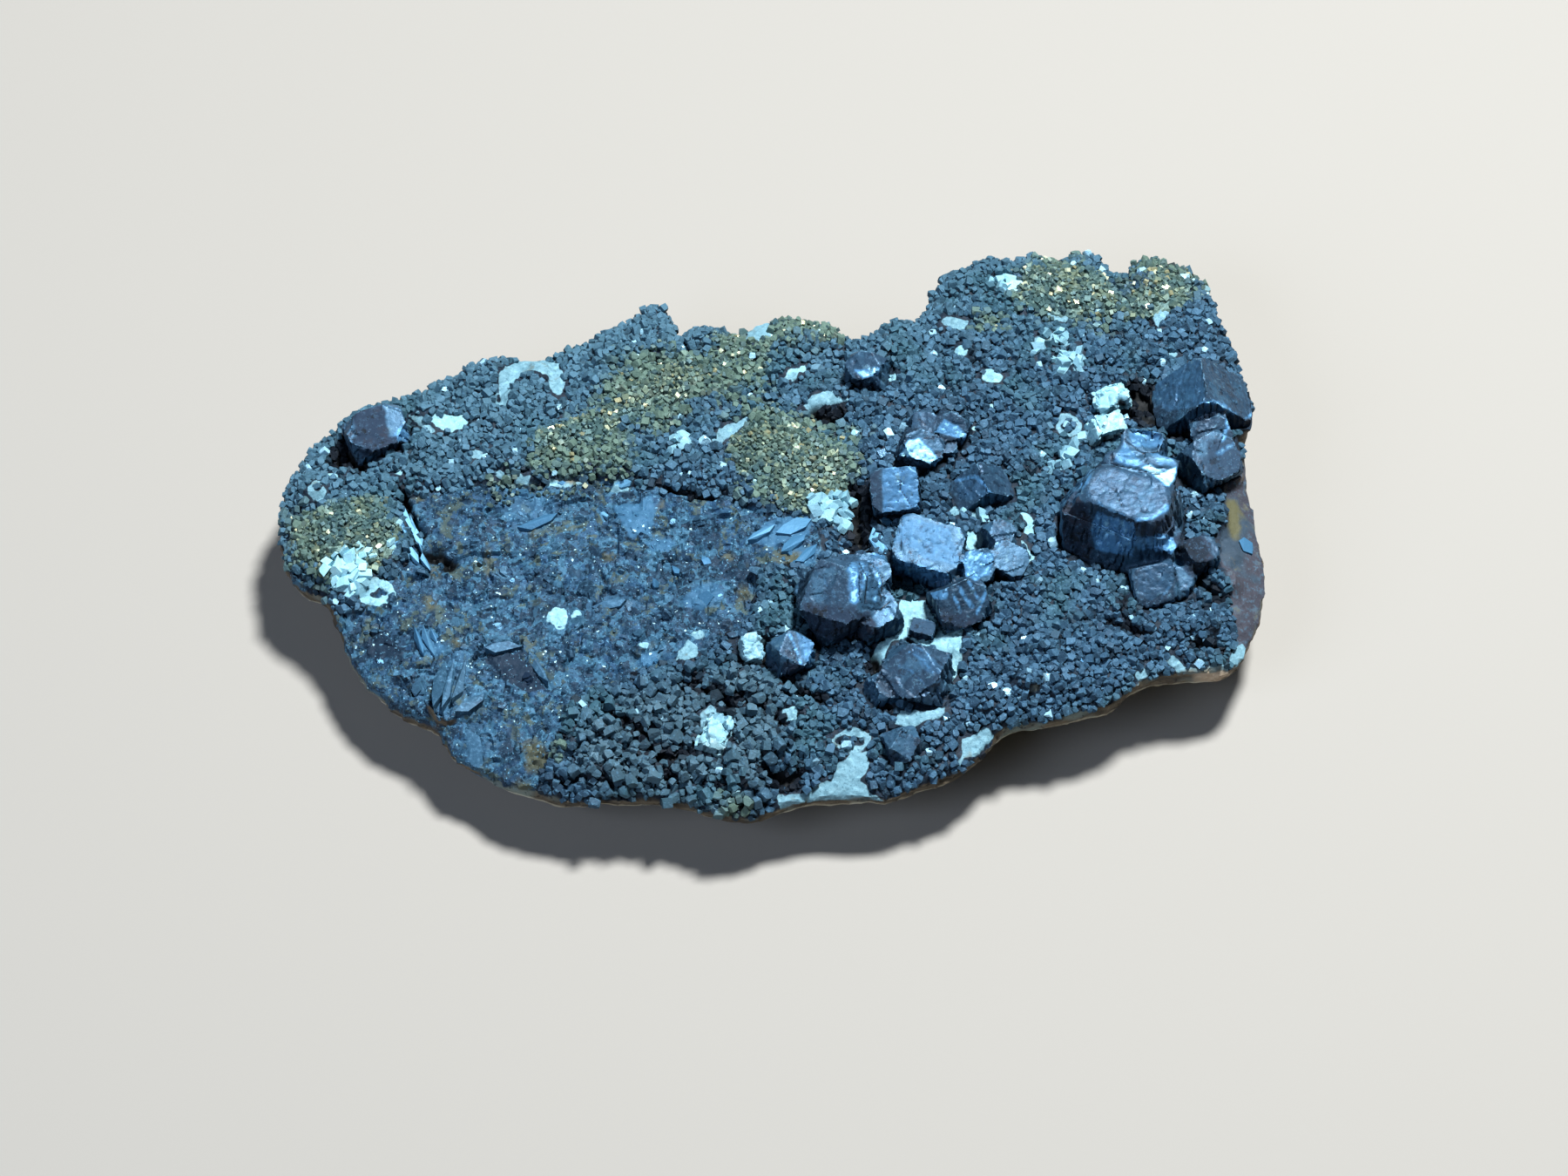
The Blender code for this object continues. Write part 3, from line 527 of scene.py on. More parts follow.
# cracks, painted dark as shade by their depth, and the ledge over the massive galena: half width and depth
# in mm, then the line
cracks = {
    "ledge": (0.22, 0.22, [
        446, 552, 480, 562, 540, 562, 600, 560, 640, 553, 665, 548, 702, 565, 730, 556, 744, 545,
        765, 562, 790, 565, 815, 572, 834, 569, 862, 580,
    ]),
    "deepLedge": (0.2, 0.9, [752, 545, 765, 560, 780, 563, 800, 567, 815, 572, 836, 569]),
    "byPyrite": (0.35, 1.2, [463, 560, 470, 590, 484, 612]),
    "cleft": (1.1, 1.6, [985, 565, 984, 600, 990, 634]),
    "holeInMassive": (0.7, 1.1, [489, 638, 505, 640, 516, 649]),
    "pitLeft": (1.0, 1.4, [388, 528, 398, 524, 412, 532]),
    "massiveA": (0.16, 0.4, [678, 640, 688, 654, 696, 668]),
    "massiveB": (0.14, 0.4, [464, 780, 470, 792, 476, 800]),
    "nearFront": (0.5, 1.1, [800, 786, 830, 800, 845, 812]),
    "behindFront": (0.6, 1.2, [876, 742, 884, 766, 905, 790, 940, 800]),
    "byLowCrystal": (0.6, 1.2, [1004, 760, 1010, 790, 1022, 812]),
    "rightSlopeA": (0.4, 1.0, [1268, 712, 1290, 722, 1310, 726]),
    "rightSlopeB": (0.35, 0.9, [1366, 735, 1390, 742, 1404, 748]),
    "rightSlopeC": (0.5, 1.1, [1360, 654, 1380, 672, 1402, 684]),
    "rightSlopeD": (0.3, 0.8, [1284, 676, 1292, 700, 1298, 716]),
    "behindRight": (1.5, 1.5, [1306, 450, 1322, 462, 1340, 470, 1352, 490]),
    "behindSlabs": (0.9, 1.2, [1298, 474, 1316, 480, 1334, 484]),
    "nearLeft": (0.7, 1.2, [742, 858, 770, 868, 790, 862]),
    "nearLeftLow": (0.4, 1.0, [745, 862, 762, 882, 772, 900]),
    "nearMiddle": (0.4, 1.0, [850, 800, 880, 812, 900, 836]),
    "byNearRim": (0.7, 1.2, [886, 888, 902, 896, 918, 886]),
    "nearLeftTop": (0.5, 0.9, [690, 815, 720, 835, 748, 842]),
    "notch": (0.8, 1.2, [938, 476, 960, 482, 968, 474]),
}

plateSettings = {
    "voxel": 0.71,  # spacing of the plate's points, in mm, halved once or twice where it is bare
    "plugGrow": 0.45, "plugDrop": 0.1, "plugRing": 0.4, "crustDrop": 0.35,
    "footKeep": 0.12,  # the flat foot below this height isn't moved
    "lowest": 0.14, "boxMargin": 0.02, "levelCell": 1.2, "levelShare": 0.8, "sharpAngle": 30,
    "sinkUnderCrystals": 0.25, "paleRise": 0.22, "underRough": 0.4,
    "strataHigh": 0.22, "strataStretch": (0.35, 0.35, 2.2),
    # the share of the relief that clean flats lose, and heaps and flats under dolomite
    "cleanSmooth": 0.6, "heapsUnderPale": 0.8, "flatsUnderPale": 0.7,
    # the crack's painted shade is full from the depth given here
    "crackShadeFullFrom": 0.9,  # mm, the depth from which a crack is wholly dark
    # the cracks deeper than this show the plate bare, to this many half widths
    "bareCrack": 0.8, "bareWide": 1.6,
    # how far from a crystal the druse, the scattered grains and the chips begin, in mm
    "druseClear": 0.3, "grainClear": 0.1, "chipClear": 0.2,
    # heaps of the druse: size, height and the noise's layer
    "heaps": ((2.1, 0.6, 11), (1.15, 0.3, 12)),
    # flats of the broken galena, large to fine: size, tilt, step, groove and layer
    "flats": ((4.4, 0.1, 0.2, 0.03, 13), (1.7, 0.22, 0.17, 0.04, 14), (0.75, 0.44, 0.15, 0.05, 15)),
    # size of the rippled flats, height and distance of the ripples, layer
    "ripples": (5.0, 0.05, 0.75, 21),
    "underFlats": (2.6, 0.2, 0.5, 0.2, 16),
    # bumps, which also make each patch's edge irregular: mm, distance between them, layer
    "bumps": {
        "massive": (0.5, 2.4, 1), "band": (0.3, 1.8, 2), "pale": (0.26, 1.0, 3), "crust": (0.5, 1.4, 4),
        "flatTone": (0.3, 1.2, 5), "rust": (0.4, 1.1, 6), "crack": (0.12, 0.9, 8),
        "olive": (1.4, 2.4, 17), "coarse": (0.6, 2.0, 18), "sides": (0.12, 0.7, 10),
        "paleRelief": (0.7, 0.6, 22), "grit": (0.07, 0.7, 23),
    },
    # a crust's outline: corners, half the angle in which its farthest point is looked for, and
    # the least distance between two corners
    "crustCorners": 36, "crustAngle": math.tau / 50, "crustApart": 0.01,
}

crystalNodes = sorted(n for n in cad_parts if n.startswith(("galena", "dolomite")))
crustNodes = sorted(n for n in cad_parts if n.startswith("pyrite"))


def socketPlug(node):
    # fills a crystal's socket: its own form a little larger, cut off where the plate's surface lies
    mesh = swollen(nodeMesh(node), plateSettings["plugGrow"])
    low, high = meshPoints(mesh).min(axis=0), meshPoints(mesh).max(axis=0)
    middle, reach = (low + high)[:2] / 2, (high - low)[:2] / 2 + plateSettings["plugRing"]
    angles = np.arange(16) * math.tau / 16
    heights = [heightAt(*(middle + reach * (math.cos(a), math.sin(a)))) for a in angles]
    top = float(np.median([h for h in heights if h is not None])) - plateSettings["plugDrop"]
    bm = opened(mesh)
    cut = bmesh.ops.bisect_plane(
        bm, geom=bm.verts[:] + bm.edges[:] + bm.faces[:], plane_co=(0, 0, top),
        plane_no=(0, 0, 1), clear_outer=True,
    )
    bmesh.ops.holes_fill(bm, edges=[e for e in cut["geom_cut"] if isinstance(e, bmesh.types.BMEdge)])
    return closed(bm, mesh)


def crustPlug(node):
    mesh = swollen(nodeMesh(node), plateSettings["plugGrow"])
    setPoints(mesh, meshPoints(mesh) - (0, 0, plateSettings["crustDrop"]))
    return mesh


def fineWhere(mesh, wanted):
    # each face whose points are wanted is divided once more
    bm = opened(mesh)
    bm.verts.ensure_lookup_table()
    edges = {e for f in bm.faces if all(wanted[v.index] for v in f.verts) for e in f.edges}
    bmesh.ops.subdivide_edges(bm, edges=list(edges), cuts=1, use_grid_fill=True)
    bmesh.ops.triangulate(bm, faces=[f for f in bm.faces if len(f.verts) > 4])
    return closed(bm, mesh)


plugs = [socketPlug(n) for n in crystalNodes] + [crustPlug(n) for n in crustNodes]
plateMesh = remeshed([nodeMesh("matrix_plate")] + plugs, plateSettings["voxel"])
plateTree = treeOf(plateMesh)
crystalTrees = {n: treeOf(nodeMesh(n)) for n in crystalNodes}
print("plate remeshed:", len(plateMesh.vertices), "points")

outlines = {name: photoOutline(loop) for name, loop in zones.items()}
pale = [photoOutline(loop) for loop in palePatches.values()]
pale += [ovalOutline(*spot) for spot in whiteSpots + greySpots]
rings = [(ovalOutline(*oval), half * mmPerPixel) for *oval, half in paleRings.values()]
rhombLoops = [photoOutline(palePatches[name]) for name in rhombPatches]
whiteLoops = [photoOutline(palePatches[name]) for name in whitePatches]
whiteLoops += [ovalOutline(*spot) for spot in whiteSpots + [whiteRing]]
flatLoops = [(tone, photoOutline(loop)) for tone, loop in flats.values()]
olive = [photoOutline(loop) for loop in oliveZones.values()]
rust = [ovalOutline(*spot) for spot in rustSpots]
crackLines = [(wide, deep, photoOutline(line)) for wide, deep, line in cracks.values()]


def crustOutline(node):
    # the crust's outer edge, from the points of its mesh round its middle
    flat = meshPoints(nodeMesh(node))[:, :2]
    middle = flat.mean(axis=0)
    angles = np.arctan2(*(flat - middle).T[::-1])
    reach = np.linalg.norm(flat - middle, axis=1)
    loop = []
    for k in range(plateSettings["crustCorners"]):
        turn = (k + 0.5) * math.tau / plateSettings["crustCorners"] - math.pi
        near = np.abs((angles - turn + math.pi) % math.tau - math.pi) < plateSettings["crustAngle"]
        if near.any():
            far = flat[near][np.argmax(reach[near])]
            if not loop or np.abs(far - loop[-1]).max() > plateSettings["crustApart"]:
                loop.append(far)
    return np.array(loop)


crustLoops = [crustOutline(n) for n in crustNodes]


def insideCrystal(points, margin):
    # whether a point lies in one of the crystals, or nearer to it than the margin
    found = np.zeros(len(points), bool)
    for node, tree in crystalTrees.items():
        low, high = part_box(node)
        low, high = np.array(low) / mm - margin, np.array(high) / mm + margin
        for i in np.flatnonzero(((points > low) & (points < high)).all(axis=1)):
            spot = Vector(points[i])
            near, normal, _, away = tree.find_nearest(spot)
            found[i] |= (spot - near).dot(normal) < 0 or away < margin
    return found


def paleDepth(flat):
    depth = depthInAny(flat, pale)
    for loop, half in rings:
        depth = np.maximum(depth, half - np.abs(depthInAny(flat, [loop])))
    return depth


def evenHeight(points, used, cell):
    # the plate's height with its bumps smoothed away, from the points marked as used
    low = points[:, :2].min(axis=0)
    at = (points[:, :2] - low) / cell
    wide = np.ceil(at.max(axis=0)).astype(int) + 2
    total, count = np.zeros(wide), np.zeros(wide)
    near = np.round(at).astype(int)
    np.add.at(total, tuple(near[used].T), points[used, 2])
    np.add.at(count, tuple(near[used].T), 1)
    for _ in range(3):
        for grid in (total, count):
            edged = np.pad(grid, 1)
            grid[:] = sum(edged[i:i + wide[0], j:j + wide[1]] for i in range(3) for j in range(3))
    height = total / np.maximum(count, 1e-9)
    base = np.floor(at).astype(int)
    part = at - base
    mixed = np.zeros(len(points))
    for i, j in np.ndindex(2, 2):
        share = np.abs(1 - i - part[:, 0]) * np.abs(1 - j - part[:, 1])
        mixed += share * height[base[:, 0] + i, base[:, 1] + j]
    return mixed


def bumps(points, name):
    # the noise of this name in the settings, in mm
    high, wave, layer = plateSettings["bumps"][name]
    return high * fractalNoise(points, wave, layer)


def patchDepths(points):
    # how deep each point lies in each kind of patch, in mm, for the relief and for the materials
    flat = points[:, :2].copy()
    depths = {
        "massive": depthInside(flat, outlines["massive"]), "band": depthInside(flat, outlines["rimBand"]),
        "pale": paleDepth(flat), "crust": depthInAny(flat, crustLoops), "rust": depthInAny(flat, rust),
        "olive": depthInAny(flat, olive + crustLoops), "coarse": depthInside(flat, outlines["coarseDruse"]),
    }
    depths = {name: depth + bumps(points, name) for name, depth in depths.items()}
    edge = bumps(points, "flatTone")
    depths["flatTone"] = sum(
        tone * smoothStep(depthInAny(flat, [loop]) + edge, -0.15, 0.25) for tone, loop in flatLoops
    )
    depths["white"] = depthInAny(flat, whiteLoops)
    depths["tan"] = depthInAny(flat, [outlines["tanRim"]])
    # dust: 0 at the front right, rising to 1 towards the back left, where the druse colour is lighter
    depths["dust"] = smoothStep(flat @ (-0.4, 0.9), -8, 26)
    return depths


def brokenRelief(points, flatTone):
    # tilted flats in three sizes, ripples and a fine grain, lower on the clean flats
    warp = np.stack([fractalNoise(points, 2.2, layer, 2) for layer in (19, 20)], axis=1)
    warped = points[:, :2] + 0.5 * warp
    relief = sum(facets(warped, *layer) for layer in plateSettings["flats"])
    relief += ripples(warped, *plateSettings["ripples"])
    relief += bumps(points, "grit")
    return relief * (1 - plateSettings["cleanSmooth"] * np.minimum(1, np.abs(flatTone)))


def cracked(points, lift):
    # the relief with the cracks cut into it, and how much painted shade they give each point
    dark = np.zeros(len(points))
    edge = bumps(points, "crack")
    for wide, deep, line in crackLines:
        near = np.exp(-(np.maximum(lineDistance(points[:, :2], line) + edge, 0) / wide) ** 2)
        lift = lift - deep * near
        dark = np.maximum(dark, near * min(1, deep / plateSettings["crackShadeFullFrom"]))
    return lift, dark


def growthMasks(points, normals, flat, up, crackShade, depths):
    # where each kind of grain may grow, from 0 to 1
    values = plateSettings
    broken = smoothStep(depths["massive"], -0.3, 0.3)
    offCrust = 1 - smoothStep(depths["crust"], -0.2, 0.6)
    grains = smoothStep(normals[:, 2], 0.3, 0.7) * (1 - broken)
    grains *= 1 - smoothStep(depths["band"], -0.6, 0.0)
    grains *= 1 - smoothStep(depths["pale"], -0.3, -0.05)
    grains *= offCrust * (crackShade < 0.7) * ~insideCrystal(points, values["druseClear"])
    clear = up * (crackShade < 0.5) * ~insideCrystal(points, values["grainClear"])
    chips = up * broken * (1 - smoothStep(depths["pale"], -0.2, 0.1)) * offCrust
    return {
        "grainMask": grains, "coarseMask": grains * smoothStep(depths["coarse"], -0.3, 0.5),
        "oliveMask": smoothStep(depths["olive"], -0.4, 1.2) * clear * (depths["pale"] < -0.1),
        "rhombMask": smoothStep(depthInAny(flat, rhombLoops), -0.2, 0.1) * clear,
        "chipMask": chips * (crackShade < 0.5) * ~insideCrystal(points, values["chipClear"]),
    }


def shapePlate(mesh):
    values = plateSettings
    points, normals = meshPoints(mesh), meshNormals(mesh)
    flat = points[:, :2].copy()
    up, down = (smoothStep(way * normals[:, 2], 0.15, 0.6) for way in (1, -1))
    side = 1 - np.maximum(up, down)
    depths = patchDepths(points)
    broken = smoothStep(depths["massive"], -0.3, 0.3)
    banded = smoothStep(depths["band"], -0.2, 0.2)
    whitened = smoothStep(depths["pale"], -0.15, 0.15)

    heaps = sum(rise * (clumps(flat, size, layer) - 0.5) for size, rise, layer in values["heaps"])
    heaps *= 0.75 + 0.5 * smoothStep(depths["coarse"], -1, 1)
    levelled = evenHeight(points, up > 0.5, values["levelCell"]) - points[:, 2]
    levelled = values["levelShare"] * np.clip(levelled, -1, 1)
    shards = brokenRelief(points, depths["flatTone"])
    lift = heaps * (1 - broken) * (1 - banded) * (1 - values["heapsUnderPale"] * whitened)
    lift += (levelled + shards * (1 - values["flatsUnderPale"] * whitened)) * broken
    lift += values["paleRise"] * whitened * (0.6 + bumps(points, "paleRelief"))
    lift += 0.1 * banded * fractalNoise(points, 1.0, 7)
    lift, crackShade = cracked(points, lift)
    lift = np.where(insideCrystal(points, 0.05), -values["sinkUnderCrystals"], lift)
    points[:, 2] += up * lift

    strata = values["strataHigh"] * fractalNoise(points * values["strataStretch"], 1.0, 9)
    outward = side * (strata + bumps(points, "sides"))
    points += normals * (1, 1, 0.2) * outward[:, None]
    rough = values["underRough"] * fractalNoise(points, 3.4, 11, 4)
    rough += 0.25 * facets(flat, *values["underFlats"])
    points[:, 2] += down * smoothStep(points[:, 2], values["footKeep"], 1.0) * rough
    raised = points[:, 2] > values["footKeep"]
    points[raised, 2] = np.maximum(points[raised, 2], values["lowest"])
    margin = values["boxMargin"]
    points = np.clip(points, boxLow + (margin, margin, 0), boxHigh - margin)
    setPoints(mesh, points)
    # hollow: how deep a point lies below the heaps, used as painted shade on the druse grains
    depths |= {"crack": crackShade * up, "top": up, "underside": down, "hollow": -lift * up}
    for name, value in (depths | growthMasks(points, normals, flat, up, crackShade, depths)).items():
        setAttribute(mesh, name, value)
    return mesh


def bareWhere(mesh, sidesToo):
    # the places that no druse covers, where the plate's own surface shows
    flat, normals = meshPoints(mesh)[:, :2], meshNormals(mesh)
    bare = np.maximum(depthInside(flat, outlines["massive"]), depthInside(flat, outlines["rimBand"]))
    bare = np.maximum(bare, paleDepth(flat))
    for wide, deep, line in crackLines:
        if deep > plateSettings["bareCrack"]:
            bare = np.maximum(bare, plateSettings["bareWide"] * wide - lineDistance(flat, line))
    shown = (bare > -0.5) & (normals[:, 2] > 0.2)
    if sidesToo:
        shown |= (np.abs(normals[:, 2]) < 0.8) & (flat[:, 1] < 0)
    return shown


for sidesToo in (True, False):
    plateMesh = fineWhere(plateMesh, bareWhere(plateMesh, sidesToo))
plateMesh = shapePlate(plateMesh)
print("plate shaped:", len(plateMesh.vertices), "points")


# Materials. Object coordinates are in metres, so each pattern is first turned into millimetres.

def newMaterial(name, attributes, noises):
    # a material, its node tree, its shader, and a socket for each of the mesh's attributes and for
    # each noise, given as the distance between its bumps in mm, its detail and its roughness
    material = bpy.data.materials.new(name)
    material.use_nodes = True
    tree = material.node_tree
    place = addNode(tree, "ShaderNodeTexCoord").outputs["Object"]
    inMm = addNode(tree, "ShaderNodeVectorMath", {0: place, "Scale": 1 / mm}, operation="SCALE").outputs[0]
    sockets = {"place": inMm}
    for key in attributes:
        sockets[key] = addNode(tree, "ShaderNodeAttribute", attribute_name=key).outputs["Fac"]
    for key, (wave, detail, rough) in noises.items():
        sockets[key] = addNode(tree, "ShaderNodeTexNoise", {
            "Vector": inMm, "Scale": 1 / wave, "Detail": detail, "Roughness": rough,
        }).outputs["Fac"]
    return material, tree, tree.nodes["Principled BSDF"], sockets


def layered(tree, sockets, colour, layers):
    # lays each colour over the last where its factor, a noise or an attribute, goes from start to full
    colour = toLinear(colour) if isinstance(colour, str) else colour
    for name, start, full, over in layers:
        amount = addNode(tree, "ShaderNodeMapRange", {
            "Value": sockets[name], "From Min": start, "From Max": full,
        }, interpolation_type="SMOOTHSTEP").outputs["Result"]
        colour = addNode(tree, "ShaderNodeMix", {
            0: amount, 6: colour, 7: toLinear(over) if isinstance(over, str) else over,
        }, data_type="RGBA").outputs[2]
    return colour


def finishShader(tree, shader, colour, gloss, height, metallic, shine):
    # gloss: the factor's socket, its range, and the roughness at both ends; height: socket and mm;
    # shine: how much of the usual reflection is left under the tarnish or dust
    tree.links.new(colour, shader.inputs["Base Color"])
    socket, start, full, low, high = gloss
    rough = addNode(tree, "ShaderNodeMapRange", {
        "Value": socket, "From Min": start, "From Max": full, "To Min": low, "To Max": high,
    })
    tree.links.new(rough.outputs["Result"], shader.inputs["Roughness"])
    shader.inputs["Metallic"].default_value = metallic
    shader.inputs["Specular IOR Level"].default_value = shine
    bump = addNode(tree, "ShaderNodeBump", {"Height": height[0], "Distance": height[1] * mm})
    tree.links.new(bump.outputs["Normal"], shader.inputs["Normal"])


def druseMaterial():
    # Galena that grew as a druse of small crystals: lead grey metal, dull under a blue-black
    # tarnish, with a few clean faces that flash, a film of pyrite in places, painted shade in the
    # hollows and among the large grains, and a colour lighter towards the back left.
    attributes = ("tone", "olive", "dust", "coarse", "hollow")
    material, tree, shader, sockets = newMaterial("tarnished galena druse", attributes, {
        "broad": (7.0, 2.0, 0.6), "fine": (0.35, 3.0, 0.7),
    })
    sockets["filmed"] = addNode(tree, "ShaderNodeMath", {
        0: sockets["tone"], 1: 2.4, 2: sockets["olive"],
    }, operation="MULTIPLY_ADD").outputs[0]
    # painted shade: grains in hollows and small grains among large ones go near-black
    colour = layered(tree, sockets, "#2b465a", [
        ("tone", 0.3, 0.95, "#35546a"), ("tone", 0.5, 0.0, "#1c3243"), ("dust", 0.0, 1.5, "#41616f"),
        ("coarse", -0.6, 3.0, "#3a525e"), ("broad", 0.46, 0.66, "#2f4e5a"), ("fine", 0.5, 0.78, "#4b7086"),
        ("filmed", 1.0, 2.4, "#50645a"), ("hollow", 0.05, 0.4, "#070f18"), ("tone", 0.985, 0.99, "#9cc8da"),
    ])
    gloss = (sockets["tone"], 0.97, 0.985, 0.66, 0.26)
    finishShader(tree, shader, colour, gloss, (sockets["fine"], 0.1), 0.25, 0.2)
    return material


def galenaMaterial():
    # Large galena crystals: lead grey metal with growth steps, lighter and bluer under a painted sheen that
    # stands for reflected light, painted highlights on the edges, painted shade in the concave corners, and
    # darker with iron stain and painted shade on some faces and towards the bottom.
    attributes = ("bright", "stain", "edge", "faceTone", "groove")
    material, tree, shader, sockets = newMaterial("galena crystal faces", attributes, {
        "broad": (2.6, 3.0, 0.6), "middle": (1.1, 4.0, 0.7), "fine": (0.5, 4.0, 0.7),
        "tiny": (0.22, 3.0, 0.7),
    })
    # paintedGlint: the painted sheen mottled by the fine noise, a lighter painted reflection
    sockets["paintedGlint"] = addNode(tree, "ShaderNodeMath", {
        0: sockets["bright"], 1: sockets["fine"],
    }, operation="MULTIPLY").outputs[0]
    dull = addNode(tree, "ShaderNodeMath", {
        0: sockets["fine"], 1: sockets["stain"],
    }, operation="ADD").outputs[0]
    # the colour of iron stain and painted shade
    stainAndShadeColour = layered(tree, sockets, "#1c2c3e", [
        ("stain", 1.0, 1.5, "#0c1824"), ("broad", 0.5, 0.64, "#252a36"), ("fine", 0.5, 0.7, "#2f475b"),
        ("middle", 0.46, 0.36, "#0e161e"), ("tiny", 0.64, 0.74, "#567084"), ("edge", 0.2, 0.9, "#4a6478"),
    ])
    # bright and paintedGlint lay a painted sheen of reflected light; edge is a painted highlight; groove
    # adds painted shade in concave corners
    colour = layered(tree, sockets, "#243c50", [
        ("faceTone", 0.55, 1.0, "#32546c"), ("faceTone", 0.45, 0.0, "#182a3a"),
        ("broad", 0.5, 0.68, "#2e4e64"), ("middle", 0.46, 0.36, "#152636"),
        ("fine", 0.52, 0.75, "#3e6078"), ("fine", 0.42, 0.25, "#142330"),
        ("bright", 0.05, 0.95, "#44749a"), ("paintedGlint", 0.46, 0.66, "#6ca0be"),
        ("bright", 1.0, 1.5, "#8cc0d4"), ("bright", 1.5, 2.0, "#b4ccc8"),
        ("middle", 0.6, 0.7, "#466678"), ("tiny", 0.62, 0.74, "#4e7084"),
        ("edge", 0.2, 0.9, "#54788e"), ("stain", 0.2, 0.9, stainAndShadeColour), ("groove", 0.4, 1.0, "#0a121a"),
    ])
    finishShader(tree, shader, colour, (dull, 0.35, 1.1, 0.4, 0.8), (sockets["fine"], 0.06), 0.35, 0.3)
    return material


def cleavageMaterial():
    # Massive galena, broken along its cubic cleavage: bluish flats, some of them clean and
    # bright, with iron oxide and pyrite in between.
    material, tree, shader, sockets = newMaterial("broken galena cleavage", ("tone", "flatTone"), {
        "broad": (5.0, 2.0, 0.6), "fine": (0.4, 4.0, 0.7),
    })
    colour = layered(tree, sockets, "#28465a", [
        ("tone", 0.4, 0.9, "#325468"), ("tone", 0.4, 0.0, "#1e3648"), ("broad", 0.5, 0.62, "#223a4c"),
        ("fine", 0.48, 0.72, "#4c7088"), ("fine", 0.44, 0.28, "#182c3c"),
        ("flatTone", 0.1, 1.0, "#34607e"), ("flatTone", -0.2, -1.0, "#122234"),
        ("flatTone", 0.95, 1.5, "#689cb8"), ("tone", 0.985, 0.99, "#86bcdc"),
    ])
    gloss = (sockets["tone"], 0.95, 0.98, 0.55, 0.3)
    finishShader(tree, shader, colour, gloss, (sockets["fine"], 0.05), 0.25, 0.2)
    return material


def pyriteMaterial():
    # Pyrite in a fine crust: pale brassy metal in grains of a fraction of a millimetre, dulled by
    # a grey-green film, with clean grains that sparkle.
    material, tree, shader, sockets = newMaterial("pyrite crust", ("tone", "dark"), {
        "broad": (3.2, 2.0, 0.6), "fine": (0.3, 3.0, 0.7),
    })
    colour = layered(tree, sockets, "#4c6058", [
        ("tone", 0.4, 0.9, "#687460"), ("tone", 0.4, 0.0, "#30443f"), ("broad", 0.48, 0.64, "#425b5a"),
        ("fine", 0.55, 0.75, "#6c8276"), ("dark", -0.3, 0.5, "#2a4456"), ("tone", 0.93, 0.95, "#8e8c6c"),
        ("tone", 0.975, 0.98, "#d0d4b4"),
    ])
    gloss = (sockets["tone"], 0.9, 0.95, 0.55, 0.28)
    finishShader(tree, shader, colour, gloss, (sockets["fine"], 0.05), 0.35, 0.3)
    return material


def dolomiteMaterial():
    # Dolomite crystals: white to mint rhombs with a waxy, slightly clear look.
    material, tree, shader, sockets = newMaterial("pale dolomite", ("white", "stain", "groove"), {
        "broad": (2.0, 2.0, 0.6), "fine": (0.35, 4.0, 0.7),
    })
    dull = layered(tree, sockets, "#6b94a2", [
        ("broad", 0.45, 0.68, "#7ba6b2"), ("fine", 0.52, 0.75, "#4c7180"),
    ])
    # stain is iron stain and painted shade, darker towards the bottom; groove is dark cracks and painted
    # shade in concave corners
    colour = layered(tree, sockets, "#86b4c0", [
        ("broad", 0.45, 0.68, "#9ccad2"), ("fine", 0.58, 0.8, "#6896a4"), ("white", -0.1, -0.6, dull),
        ("stain", 0.2, 0.9, "#56696a"), ("groove", 0.2, 0.8, "#06090c"),
    ])
    fine = sockets["fine"]
    finishShader(tree, shader, colour, (fine, 0.3, 0.7, 0.42, 0.56), (fine, 0.06), 0.0, 0.45)
    shader.inputs["Subsurface Weight"].default_value = 0.1
    shader.inputs["Subsurface Radius"].default_value = (0.0006, 0.0006, 0.0005)
    return material


